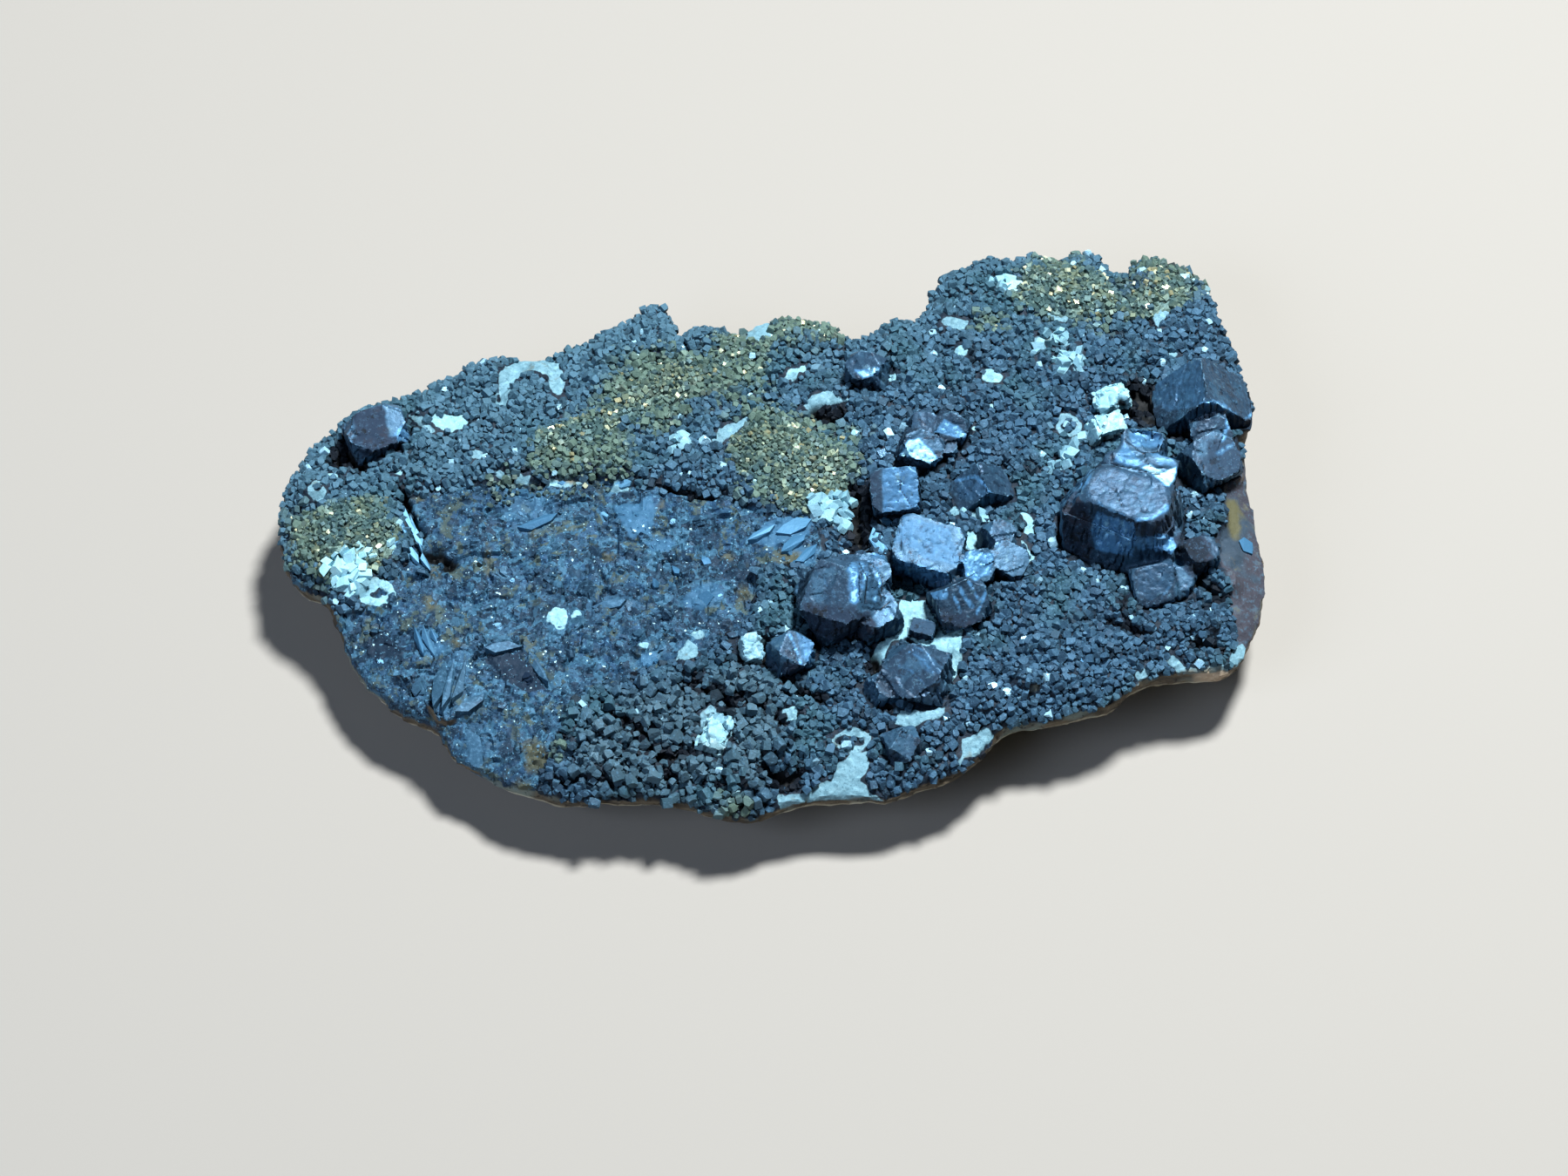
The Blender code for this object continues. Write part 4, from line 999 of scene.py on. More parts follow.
def matrixMaterial():
    # The dolomite plate as it broke from the vein: near-black between the druse's grains, a painted
    # shade, blue-grey where massive galena shows, pale where the dolomite is bare, glassy purple-grey
    # along the right rim, tan to brown with iron on the broken sides and back, and painted shade in the
    # cracks.
    attributes = (
        "top", "underside", "massive", "band", "pale", "crust", "white", "tan", "rust", "crack", "flatTone",
    )
    material, tree, shader, sockets = newMaterial("dolomite plate with galena", attributes, {
        "broad": (5.0, 2.0, 0.6), "veins": (3.0, 4.0, 0.65), "mottle": (2.4, 5.0, 0.7),
        "middle": (1.6, 3.0, 0.6), "fine": (0.6, 4.0, 0.7), "speck": (0.5, 1.0, 0.5),
        "tiny": (0.28, 3.0, 0.7),
    })
    stretched = addNode(tree, "ShaderNodeMapping", {"Vector": sockets["place"], "Scale": (0.4, 0.4, 2.4)})
    sockets["strata"] = addNode(tree, "ShaderNodeTexNoise", {
        "Vector": stretched.outputs["Vector"], "Scale": 1 / 1.2, "Detail": 4.0, "Roughness": 0.6,
    }).outputs["Fac"]
    back = layered(tree, sockets, "#8f8876", [
        ("broad", 0.45, 0.62, "#aeac9c"), ("fine", 0.52, 0.68, "#645c4e"), ("veins", 0.6, 0.7, "#70573c"),
    ])
    # painted shade: the plate's top between the druse's grains is near-black
    shadedGaps = layered(tree, sockets, "#0d1924", [
        ("tiny", 0.5, 0.7, "#1d3244"), ("crust", -0.4, 0.3, "#303c34"),
    ])
    # the flats of broken galena each have a tone of their own, with pyrite and iron along some seams
    swirl = addNode(tree, "ShaderNodeTexNoise", {
        "Vector": sockets["place"], "Scale": 1 / 1.6, "Detail": 3.0,
    })
    wander = addNode(tree, "ShaderNodeVectorMath", {
        0: sockets["place"], 1: swirl.outputs["Color"],
    }, operation="ADD").outputs["Vector"]
    flatScale = 1 / 2.6
    flats = addNode(tree, "ShaderNodeTexVoronoi", {"Vector": wander, "Scale": flatScale})
    seams = addNode(tree, "ShaderNodeTexVoronoi", {
        "Vector": wander, "Scale": flatScale,
    }, feature="DISTANCE_TO_EDGE")
    chips = addNode(tree, "ShaderNodeTexVoronoi", {"Vector": wander, "Scale": 1 / 0.75})
    flatTones, chipTones = (
        addNode(tree, "ShaderNodeSeparateColor", {"Color": cells.outputs["Color"]}).outputs
        for cells in (flats, chips)
    )
    sockets["flats"] = flatTones[0]
    sockets["chips"] = chipTones[0]
    sockets["olives"] = addNode(tree, "ShaderNodeMath", {
        0: chipTones[1], 1: 0.2, 2: sockets["mottle"],
    }, operation="MULTIPLY_ADD").outputs[0]
    sockets["seams"] = addNode(tree, "ShaderNodeMath", {
        0: sockets["mottle"], 1: 0.5, 2: seams.outputs["Distance"],
    }, operation="MULTIPLY_ADD").outputs[0]
    galena = layered(tree, sockets, "#21405a", [
        ("flats", 0.55, 0.7, "#2b4b62"), ("flats", 0.3, 0.2, "#1a3042"), ("chips", 0.66, 0.72, "#33586e"),
        ("chips", 0.34, 0.28, "#162b3c"), ("middle", 0.5, 0.64, "#1f394e"), ("fine", 0.52, 0.72, "#3c6076"),
        ("tiny", 0.46, 0.31, "#08121a"), ("olives", 0.66, 0.76, "#3c4a48"),
        ("seams", 0.15, 0.08, "#3c4a48"),
        ("flatTone", 0.05, 1.0, "#305772"), ("flatTone", 0.95, 1.4, "#6698b4"),
        ("flatTone", -0.1, -0.9, "#0e2030"), ("rust", -0.1, 0.8, "#43463a"),
        ("tiny", 0.6, 0.7, "#5c8ca4"), ("speck", 0.73, 0.77, "#a8ccd4"),
    ])
    whiteStone = layered(tree, sockets, "#749eaa", [
        ("fine", 0.45, 0.7, "#8cb4bc"), ("tiny", 0.52, 0.72, "#587f89"),
    ])
    paleStone = layered(tree, sockets, "#5e828e", [
        ("fine", 0.45, 0.7, "#769ba6"), ("tiny", 0.52, 0.72, "#3f616c"), ("middle", 0.58, 0.7, "#566a6c"),
        ("rust", -0.3, 0.5, "#5e5c50"), ("white", -0.25, 0.05, whiteStone),
    ])
    glassy = layered(tree, sockets, "#34343c", [
        ("fine", 0.48, 0.65, "#3c4e5c"), ("broad", 0.5, 0.62, "#2c3a46"), ("mottle", 0.56, 0.66, "#484840"),
        ("tiny", 0.64, 0.74, "#5c7484"), ("rust", -0.3, 0.5, "#4c4a34"),
    ])
    colour = layered(tree, sockets, "#3f382f", [
        ("strata", 0.42, 0.62, "#5c5242"), ("broad", 0.52, 0.66, "#66706a"), ("fine", 0.55, 0.7, "#241f1b"),
        ("underside", 0.3, 0.9, back), ("top", 0.2, 0.75, shadedGaps),
    ])
    tanStone = layered(tree, sockets, "#a3907a", [
        ("fine", 0.5, 0.68, "#b9a994"), ("middle", 0.52, 0.64, "#6a5844"),
    ])
    for over, patch, topRange in (
        (galena, ("massive", -0.15, 0.15), (0.02, 0.35)), (glassy, ("band", -0.15, 0.15), (0.02, 0.35)),
        (paleStone, ("pale", -0.04, 0.06), (0.02, 0.35)), (tanStone, ("tan", -0.4, 0.3), (0.6, 0.2)),
    ):
        patched = layered(tree, sockets, colour, [(*patch, over)])
        colour = layered(tree, sockets, colour, [("top", *topRange, patched)])
    # painted shade in the cracks
    colour = layered(tree, sockets, colour, [("crack", 0.12, 0.7, "#05080a")])
    relief = addNode(tree, "ShaderNodeMath", {
        0: sockets["chips"], 1: 0.5, 2: sockets["fine"],
    }, operation="MULTIPLY_ADD").outputs[0]
    finishShader(tree, shader, colour, (sockets["fine"], 0.3, 0.7, 0.58, 0.78), (relief, 0.1), 0.0, 0.2)
    # only the broken galena on the top is metal
    metal = addNode(tree, "ShaderNodeMapRange", {
        "Value": sockets["massive"], "From Min": -0.1, "From Max": 0.1, "To Max": 0.25,
    }).outputs["Result"]
    stone = addNode(tree, "ShaderNodeMapRange", {
        "Value": sockets["pale"], "From Min": 0.05, "From Max": -0.05,
    }).outputs["Result"]
    for factor in (stone, sockets["top"]):
        metal = addNode(tree, "ShaderNodeMath", {0: metal, 1: factor}, operation="MULTIPLY").outputs[0]
    tree.links.new(metal, shader.inputs["Metallic"])
    return material


finish = {
    "druse": druseMaterial(), "galena": galenaMaterial(), "cleavage": cleavageMaterial(),
    "pyrite": pyriteMaterial(), "dolomite": dolomiteMaterial(), "matrix": matrixMaterial(),
}
print("materials made:", len(finish))


# Grains: one Geometry Nodes tree scatters small shapes over a surface, where a mask allows it

def hullMesh(name, points):
    bm = bmesh.new()
    for point in points:
        bm.verts.new(point)
    made = bmesh.ops.convex_hull(bm, input=bm.verts)
    inner = {v for v in made["geom_interior"] if isinstance(v, bmesh.types.BMVert)}
    bmesh.ops.delete(bm, geom=list(inner), context="VERTS")
    bmesh.ops.recalc_face_normals(bm, faces=bm.faces)
    return closed(bm, bpy.data.meshes.new(name))


def blockPoints(rng, half, cutShare, cutDeep, jitter):
    # a block's corners, some of them cut back to three points each
    points = []
    for corner in np.array(np.meshgrid((-1, 1), (-1, 1), (-1, 1))).T.reshape(-1, 3):
        at = corner * half * (1 + jitter * rng.uniform(-1, 1, 3))
        if rng.random() < cutShare:
            for axis in range(3):
                cut = at.copy()
                cut[axis] -= corner[axis] * rng.uniform(*cutDeep) * half[axis]
                points.append(cut)
        else:
            points.append(at)
    return points


def shapeCollection(name, meshes):
    made = bpy.data.collections.new(name)
    for mesh in meshes:
        made.objects.link(bpy.data.objects.new(mesh.name, mesh))
    return made


# each kind of block: its shapes, seed, range of width and of height beside a length of 1, share
# and depth of the cut corners, unevenness, and how the block leans to a rhomb
blockSettings = {
    "galena": (9, 3, (0.75, 1.05), (0.7, 1.0), 0.55, (0.4, 0.9), 0.16, (0, 0, 0)),
    "pyrite": (6, 5, (0.7, 1.1), (0.7, 1.1), 0.2, (0.4, 0.8), 0.14, (0, 0, 0)),
    "rhomb": (5, 6, (0.8, 1.1), (0.6, 0.9), 0.35, (0.3, 0.6), 0.1, (0.28, 0.2, 0.24)),
}


def blockShapes(name, count, seed, width, height, cutShare, cutDeep, jitter, lean):
    rng = np.random.default_rng(seed)
    leant = np.array([[1, lean[0], lean[1]], [0, 1, lean[2]], [0, 0, 1]])
    meshes = []
    for k in range(count):
        half = np.array([1, rng.uniform(*width), rng.uniform(*height)])
        points = blockPoints(rng, half, cutShare, cutDeep, jitter)
        meshes.append(hullMesh(f"{name}Block{k}", [leant @ p for p in points]))
    return shapeCollection(name + "Blocks", meshes)


def slabPoints(rng, centre, reach, thick, corners):
    # an irregular flat slab
    points = []
    start = rng.uniform(0, math.tau)
    for k in range(corners):
        angle = start + math.tau * (k + rng.uniform(-0.28, 0.28)) / corners
        out = reach * rng.uniform(0.7, 1.1)
        for z, inset in ((-thick, 1.0), (thick, rng.uniform(0.88, 1.0))):
            points.append(centre + (out * inset * math.cos(angle), out * inset * math.sin(angle), z))
    return points


def cleavageStacks():
    # broken galena: two or three flat plates, one stepped back on the other
    rng = np.random.default_rng(8)
    meshes = []
    for k in range(8):
        parts, height, reach, centre = [], -0.3, 1.0, np.zeros(3)
        for _ in range(2 + k % 2):
            thick = rng.uniform(0.08, 0.17)
            height += thick
            centre = centre + (*rng.uniform(-0.16, 0.16, 2), 0)
            slab = slabPoints(rng, centre + (0, 0, height), reach, thick, 5 + k % 2)
            parts.append(hullMesh("slab", slab))
            height += thick
            reach *= rng.uniform(0.62, 0.85)
        meshes.append(joinMeshes(f"cleavageStack{k}", parts))
    return shapeCollection("cleavageStacks", meshes)


def growthTree():
    tree = bpy.data.node_groups.new("grow on surface", "GeometryNodeTree")
    tree.interface.new_socket("Geometry", in_out="OUTPUT", socket_type="NodeSocketGeometry")
    for name, kind in {
        "Surface": "Geometry", "Mask": "String", "Spacing": "Float", "Size": "Float", "Spread": "Float",
        "Lean": "Float", "Flatness": "Float", "Lowest": "Float", "Highest": "Float",
        "Seed": "Int", "Shapes": "Collection", "Material": "Material",
    }.items():
        tree.interface.new_socket(name, in_out="INPUT", socket_type="NodeSocket" + kind)
    given = addNode(tree, "NodeGroupInput").outputs
    mask = addNode(tree, "GeometryNodeInputNamedAttribute", {"Name": given["Mask"]}, data_type="FLOAT")
    points = addNode(tree, "GeometryNodeDistributePointsOnFaces", {
        "Mesh": given["Surface"], "Distance Min": given["Spacing"], "Density Max": 30.0,
        "Density Factor": mask.outputs["Attribute"], "Seed": given["Seed"],
    }, distribute_method="POISSON")
    least, most = (
        addNode(tree, "ShaderNodeMath", {0: 1.0, 1: given["Spread"]}, operation=change).outputs[0]
        for change in ("SUBTRACT", "ADD")
    )
    # what is drawn for each grain: its rise, lean, stretch, growth, shape and tone
    drawn = {}
    for name, seed, kind, values in (
        ("rise", 11, "FLOAT", {2: given["Lowest"], 3: given["Highest"]}),
        ("lean", 12, "FLOAT_VECTOR", {0: (-1.0, -1.0, -1.0), 1: (1.0, 1.0, 1.0)}),
        ("stretch", 13, "FLOAT_VECTOR", {0: (0.82, 0.82, 0.82), 1: (1.18, 1.18, 1.18)}),
        ("growth", 14, "FLOAT", {2: least, 3: most}),
        ("which", 15, "INT", {4: 0, 5: 40}),
        ("tone", 16, "FLOAT", {2: 0.0, 3: 1.0}),
    ):
        values["Seed"] = seed
        drawn[name] = addNode(tree, "FunctionNodeRandomValue", values, data_type=kind).outputs
    offset = addNode(tree, "ShaderNodeVectorMath", {
        0: points.outputs["Normal"], "Scale": drawn["rise"][1],
    }, operation="SCALE")
    moved = addNode(tree, "GeometryNodeSetPosition", {
        "Geometry": points.outputs["Points"], "Offset": offset.outputs["Vector"],
    })
    reach = addNode(tree, "ShaderNodeCombineXYZ", {"X": given["Lean"], "Y": given["Lean"], "Z": math.pi})
    leaning = addNode(tree, "ShaderNodeVectorMath", {
        0: drawn["lean"][0], 1: reach.outputs[0],
    }, operation="MULTIPLY")
    turn = addNode(tree, "FunctionNodeEulerToRotation", {"Euler": leaning.outputs["Vector"]})
    turned = addNode(tree, "FunctionNodeRotateRotation", {
        "Rotation": points.outputs["Rotation"], "Rotate By": turn.outputs["Rotation"],
    }, rotation_space="LOCAL")
    size = addNode(tree, "ShaderNodeMath", {0: drawn["growth"][1], 1: given["Size"]}, operation="MULTIPLY")
    scaled = addNode(tree, "ShaderNodeVectorMath", {
        0: drawn["stretch"][0], "Scale": size.outputs[0],
    }, operation="SCALE").outputs["Vector"]
    flat = addNode(tree, "ShaderNodeCombineXYZ", {"X": 1.0, "Y": 1.0, "Z": given["Flatness"]})
    scaled = addNode(tree, "ShaderNodeVectorMath", {
        0: scaled, 1: flat.outputs[0],
    }, operation="MULTIPLY").outputs["Vector"]
    shapes = addNode(tree, "GeometryNodeCollectionInfo", {
        "Collection": given["Shapes"], "Separate Children": True, "Reset Children": True,
    })
    grains = addNode(tree, "GeometryNodeInstanceOnPoints", {
        "Points": moved.outputs["Geometry"], "Instance": shapes.outputs["Instances"], "Pick Instance": True,
        "Instance Index": drawn["which"][2], "Rotation": turned.outputs["Rotation"],
        "Scale": scaled,
    })
    toned = addNode(tree, "GeometryNodeStoreNamedAttribute", {
        "Geometry": grains.outputs["Instances"], "Name": "tone", "Value": drawn["tone"][1],
    }, data_type="FLOAT", domain="INSTANCE")
    solid = addNode(tree, "GeometryNodeRealizeInstances", {"Geometry": toned.outputs["Geometry"]})
    done = addNode(tree, "GeometryNodeSetMaterial", {
        "Geometry": solid.outputs["Geometry"], "Material": given["Material"],
    })
    addNode(tree, "NodeGroupOutput", {"Geometry": done.outputs["Geometry"]})
    return tree


growth = growthTree()
stock = {name: blockShapes(name, *values) for name, values in blockSettings.items()}
stock["stack"] = cleavageStacks()


def grownOn(mesh, shapes, material, **values):
    # the shapes that the tree grows on a copy of this mesh, as one plain mesh
    worker = workObject("growth worker", mesh.copy())
    modifier = worker.modifiers.new("growth", "NODES")
    modifier.node_group = growth
    given = {"Lean": math.pi, "Flatness": 1.0} | values
    given |= {"Shapes": stock[shapes], "Material": finish[material]}
    for socket in growth.interface.items_tree:
        if socket.in_out == "INPUT" and socket.name in given:
            modifier[socket.identifier] = given[socket.name]
    return applied(worker)


# The druse: small galena crystals all over the plate, in layers

druseSettings = {
    "fine": {
        "Mask": "here", "Spacing": 0.42, "Size": 0.27, "Spread": 0.3, "Lowest": -0.06, "Highest": 0.1,
        "Seed": 1,
    },
    "middle": {
        "Mask": "here", "Spacing": 0.8, "Size": 0.34, "Spread": 0.25, "Lowest": 0.05, "Highest": 0.26,
        "Seed": 2,
    },
    "large": {
        "Mask": "hereCoarse", "Spacing": 0.9, "Size": 0.37, "Spread": 0.45, "Lowest": 0.15, "Highest": 0.8,
        "Seed": 3,
    },
}
# the druse is cut in three pieces along x, in mm
druseParts = {"left": (-60, -8), "middle": (-8, 16), "right": (16, 60)}


def growDruse(name, start, end):
    across = meshPoints(plateMesh)[:, 0]
    share = (across >= start) & (across < end)
    setAttribute(plateMesh, "here", attributeOf(plateMesh, "grainMask") * share)
    setAttribute(plateMesh, "hereCoarse", attributeOf(plateMesh, "coarseMask") * share)
    parts = []
    for layer, values in druseSettings.items():
        grown = grownOn(plateMesh, "galena", "druse", **values)
        if layer == "fine":
            # the small grains lie in the shade of the others, deepest where those are large
            shade = 0.15 + 0.3 * smoothStep(attributeOf(grown, "coarse"), -0.5, 0.8)
            setAttribute(grown, "hollow", attributeOf(grown, "hollow") + shade)
        parts.append(grown)
    finishPiece(name, joinMeshes(name, parts), "druse")


for side, (start, end) in druseParts.items():
    growDruse("druse_grains_" + side, start, end)

# Massive galena: flat stepped chips along its cleavage, nearly flush with the surface

chipSettings = {
    "plates": {
        "Mask": "chipMask", "Spacing": 3.4, "Size": 0.8, "Spread": 0.4, "Lowest": -0.2, "Highest": -0.08,
        "Lean": 0.16, "Seed": 4,
    },
    "chips": {
        "Mask": "chipMask", "Spacing": 0.95, "Size": 0.26, "Spread": 0.5, "Lowest": -0.12, "Highest": 0.0,
        "Lean": 0.5, "Seed": 5,
    },
}
chipParts = [grownOn(plateMesh, "stack", "cleavage", **values) for values in chipSettings.values()]
finishPiece("massive_galena_chips", joinMeshes("chips", chipParts), "cleavage")

# Blades and shards of clean galena, standing a little out of the plate: x and y of both ends in
# the photograph's pixels, width in mm and tone

blades = {
    "plates": [
        (451, 584, 467, 622, 0.4, 1.2), (462, 584, 479, 626, 0.35, 1.4), (470, 592, 486, 634, 0.35, 1.3),
        (447, 602, 458, 630, 0.35, 0.9), (468, 626, 480, 648, 0.5, 1.4), (484, 638, 494, 656, 0.5, 1.2),
        (457, 594, 471, 634, 0.35, 1.0), (462, 620, 470, 644, 0.35, 1.4), (476, 610, 484, 628, 0.5, 1.5),
        (452, 620, 464, 640, 0.4, 1.1),
    ],
    "fan": [
        (476, 722, 488, 752, 0.5, 1.0), (484, 720, 499, 755, 0.5, 1.2), (494, 724, 509, 746, 0.5, 0.8),
    ],
    "layers": [
        (500, 812, 508, 762, 0.9, 0.05), (510, 814, 520, 756, 0.9, 0.25), (522, 806, 534, 754, 0.9, 0.0),
        (524, 822, 556, 798, 1.2, 0.2), (556, 748, 600, 742, 0.8, 0.3), (604, 748, 630, 784, 0.8, 0.3),
        (534, 838, 556, 886, 1.6, 0.35), (596, 610, 640, 590, 0.9, 0.7), (680, 700, 720, 690, 0.9, 0.4),
    ],
    "shards": [
        (892, 614, 930, 596, 1.3, 1.1), (898, 636, 924, 614, 1.0, 1.0), (914, 648, 936, 626, 0.7, 1.0),
        (860, 624, 888, 604, 0.8, 1.1), (1000, 608, 1020, 638, 1.6, 1.2),
        (1322, 616, 1350, 610, 0.7, 1.2),
    ],
    "small": [
        (1426, 618, 1438, 638, 1.3, 0.9), (640, 557, 654, 560, 0.4, 0.9), (706, 560, 726, 552, 0.6, 1.2),
        (1014, 596, 1022, 606, 0.7, 0.8), (1238, 756, 1246, 762, 0.5, 1.0),
        (806, 640, 816, 650, 0.6, 1.0), (772, 652, 780, 660, 0.5, 0.9), (748, 668, 756, 676, 0.6, 0.8),
        (690, 590, 698, 596, 0.4, 1.3),
    ],
}
bladeSettings = {
    "proud": 0.3, "sunk": 0.8, "ragged": 0.14,
    # the six corners: share of the length, and side
    "corners": ((0, 0.3), (0.25, -1), (0.3, 1), (0.75, -1), (0.7, 1), (1, -0.2)),
}


def bladePoints(rng, start, end, wide):
    # corners along the line, narrow at both ends, above and below the plate's surface
    ends = [np.array((*onPlate(*at), 0)) for at in (start, end)]
    along = (ends[1] - ends[0]) / np.linalg.norm(ends[1] - ends[0])
    across = np.array((-along[1], along[0], 0)) * wide / 2
    points = []
    for part, side in bladeSettings["corners"]:
        at = ends[0] * (1 - part) + ends[1] * part + side * across * rng.uniform(0.7, 1.3)
        at[2] = heightAt(*at[:2]) or usualHeight
        wander = rng.uniform(-1, 1, 3) * bladeSettings["ragged"]
        points += [at - (0, 0, bladeSettings["sunk"]), at + wander + (0, 0, bladeSettings["proud"])]
    return points


def growBlades():
    rng = np.random.default_rng(9)
    bm = bmesh.new()
    toneLayer = bm.verts.layers.float.new("flatTone")
    for *line, wide, tone in sum(blades.values(), []):
        piece = hullMesh("blade", bladePoints(rng, line[:2], line[2:], wide))
        before = len(bm.verts)
        bm.from_mesh(piece)
        for v in bm.verts[before:]:
            v[toneLayer] = tone
    mesh = closed(bm, bpy.data.meshes.new("blades"))
    setAttribute(mesh, "tone", 0.5)
    finishPiece("galena_blades", mesh, "cleavage")


growBlades()

# Pyrite grains scattered among the druse, and small dolomite rhombs on the pale patches

scatterSettings = {
    "Mask": "oliveMask", "Spacing": 0.5, "Size": 0.17, "Spread": 0.4, "Lowest": 0.1, "Highest": 0.4,
    "Seed": 7,
}
scattered = grownOn(plateMesh, "pyrite", "pyrite", **scatterSettings)
finishPiece("pyrite_grains_scattered", scattered, "pyrite")

rhombSettings = {
    "Mask": "rhombMask", "Spacing": 0.6, "Size": 0.42, "Spread": 0.35, "Lowest": 0.0, "Highest": 0.4,
    "Lean": 0.8, "Flatness": 0.9, "Seed": 8,
}
rhombs = grownOn(plateMesh, "rhomb", "dolomite", **rhombSettings)
finishPiece("dolomite_rhombs", rhombs, "dolomite")

# Pyrite crusts: the mound of each, with its sparkling grains

crustSettings = {
    "grow": 0.34, "voxel": 0.3, "lump": 0.16, "lumpWave": 0.9,
    "grains": {
        "Mask": "here", "Spacing": 0.34, "Size": 0.2, "Spread": 0.4, "Lowest": -0.03, "Highest": 0.1,
        "Seed": 6,
    },
}


def dressCrust(node):
    mesh = remeshed([swollen(nodeMesh(node), crustSettings["grow"])], crustSettings["voxel"])
    points, normals = meshPoints(mesh), meshNormals(mesh)
    up = smoothStep(normals[:, 2], 0.1, 0.5)
    lumps = crustSettings["lump"] * fractalNoise(points, crustSettings["lumpWave"], 21)
    setPoints(mesh, points + normals * (up * lumps)[:, None])
    setAttribute(mesh, "here", up * (paleDepth(points[:, :2]) < -0.1))
    setAttribute(mesh, "tone", 0.25 + 0.2 * fractalNoise(points, 0.5, 22))
    dark = depthInAny(points[:, :2], [photoOutline(loop) for loop in darkCrust])
    setAttribute(mesh, "dark", dark + fractalNoise(points, 1.6, 25))
    grains = grownOn(mesh, "pyrite", "pyrite", **crustSettings["grains"])
    finishPiece(node + "_sparkling", joinMeshes(node, [mesh, grains]), "pyrite", [node])


for node in crustNodes:
    dressCrust(node)

# Large crystals: the CAD forms with growth steps, furrows, cracks, stains and painted shade.
# Faces with a painted sheen, faces with stain and painted shade, and cracks are picked in the photograph's
# pixels.

# how much painted sheen, standing for reflected light, each face gets (on a few a pale patch of stone),
# then its outline
paintedSheenFaces = {
    "edgeLeftFace": (0.35, [1320, 425, 1340, 405, 1378, 405, 1384, 464, 1340, 474, 1322, 458]),
    "paleBehind": (1.8, [1306, 536, 1320, 533, 1336, 540, 1350, 536, 1350, 548, 1342, 560, 1324, 546]),
    "ridgeFront": (0.3, [1096, 554, 1118, 550, 1142, 568, 1150, 576, 1098, 574]),
    "centreFront": (0.7, [1022, 640, 1060, 648, 1090, 658, 1088, 690, 1050, 684, 1025, 664]),
    "rightTop": (0.22, [
        1245, 565, 1262, 540, 1290, 532, 1340, 545, 1346, 570, 1330, 588, 1305, 596, 1275, 590,
        1250, 578,
    ]),
    "rightLeftFacet": (0.6, [1230, 540, 1238, 528, 1252, 530, 1254, 548, 1240, 566]),
    "slabBack": (0.6, [1296, 500, 1300, 484, 1330, 490, 1340, 515, 1300, 512]),
    "slabLeft": (0.6, [1276, 530, 1290, 506, 1316, 535, 1300, 538]),
    "slabRight": (0.5, [1318, 518, 1345, 517, 1352, 535, 1330, 536]),
    "edgeRightFace": (0.1, [1377, 407, 1415, 400, 1440, 455, 1430, 485, 1400, 470, 1382, 460]),
    "lowRightFace": (0.25, [1305, 655, 1330, 637, 1353, 647, 1345, 675, 1320, 692, 1305, 680]),
    "lowRightStep": (0.8, [1300, 616, 1340, 612, 1354, 625, 1345, 636, 1305, 632]),
    "backFace": (0.6, [1012, 592, 1012, 535, 1055, 532, 1058, 590, 1030, 595]),
    "centreTop": (0.42, [1020, 623, 1035, 590, 1090, 605, 1107, 650, 1060, 643, 1047, 630]),
    "centreLeft": (0.8, [995, 606, 1022, 604, 1022, 642, 1000, 640]),
    "trioLeft": (1.4, [1028, 526, 1042, 505, 1056, 502, 1082, 530, 1075, 538, 1050, 528]),
    "trioBack": (1.0, [1073, 496, 1084, 481, 1100, 488, 1114, 502, 1108, 507, 1090, 500]),
    "frontTerrace": (0.3, [990, 640, 1010, 640, 1008, 690, 995, 690]),
    "rightOfCentre": (0.95, [1097, 655, 1110, 630, 1142, 635, 1137, 660, 1120, 667]),
    "rightOfCentreBack": (0.25, [1127, 630, 1135, 600, 1157, 608, 1150, 630]),
    "lowLeftFace": (0.6, [912, 720, 925, 722, 941, 745, 932, 765, 920, 755]),
    "notchFace": (1.2, [980, 424, 1012, 420, 1010, 432, 990, 434]),
    "leftEdgeFace": (0.7, [450, 500, 460, 488, 472, 495, 470, 508, 455, 510]),
    "lowMiddleFace": (0.35, [1042, 738, 1075, 755, 1090, 780, 1060, 770]),
    "rightFront": (0.9, [1258, 588, 1300, 602, 1306, 622, 1300, 640, 1256, 632, 1250, 606]),
    "ridgeTop": (0.8, [1094, 550, 1122, 545, 1142, 566, 1136, 568, 1118, 550, 1096, 554]),
}
# how dark each face is with iron stain and painted shade, then its outline
stainAndShadeFaces = {
    "backLeftFace": (0.6, [980, 597, 984, 545, 1011, 536, 1012, 595]),
    "frontBelow": (0.9, [918, 688, 1000, 702, 1012, 730, 980, 745, 925, 730]),
    "edgeBelow": (1.0, [1412, 482, 1442, 478, 1440, 508, 1413, 508]),
    "rightRecess": (1.0, [1303, 600, 1350, 590, 1352, 612, 1310, 617]),
    "rightSide": (1.2, [1206, 555, 1238, 566, 1250, 584, 1252, 650, 1226, 644, 1208, 600]),
    "lowLeftBelow": (1.0, [896, 755, 912, 762, 932, 770, 925, 780, 898, 778]),
    "besideCentre": (1.0, [1078, 700, 1140, 712, 1130, 728, 1080, 724]),
    "edgeLow": (1.4, [1352, 612, 1372, 608, 1392, 622, 1390, 655, 1364, 660, 1352, 640]),
    "leftEdgeTop": (1.0, [402, 470, 440, 462, 448, 500, 470, 512, 462, 530, 410, 524]),
    "centreTop": (0.25, [1020, 623, 1035, 590, 1090, 605, 1107, 650, 1060, 643, 1047, 630]),
    "edgeMiddle": (0.55, [1384, 505, 1430, 500, 1434, 570, 1400, 576, 1384, 548]),
    "tabletTop": (0.6, [1042, 702, 1082, 702, 1082, 730, 1042, 730]),
}
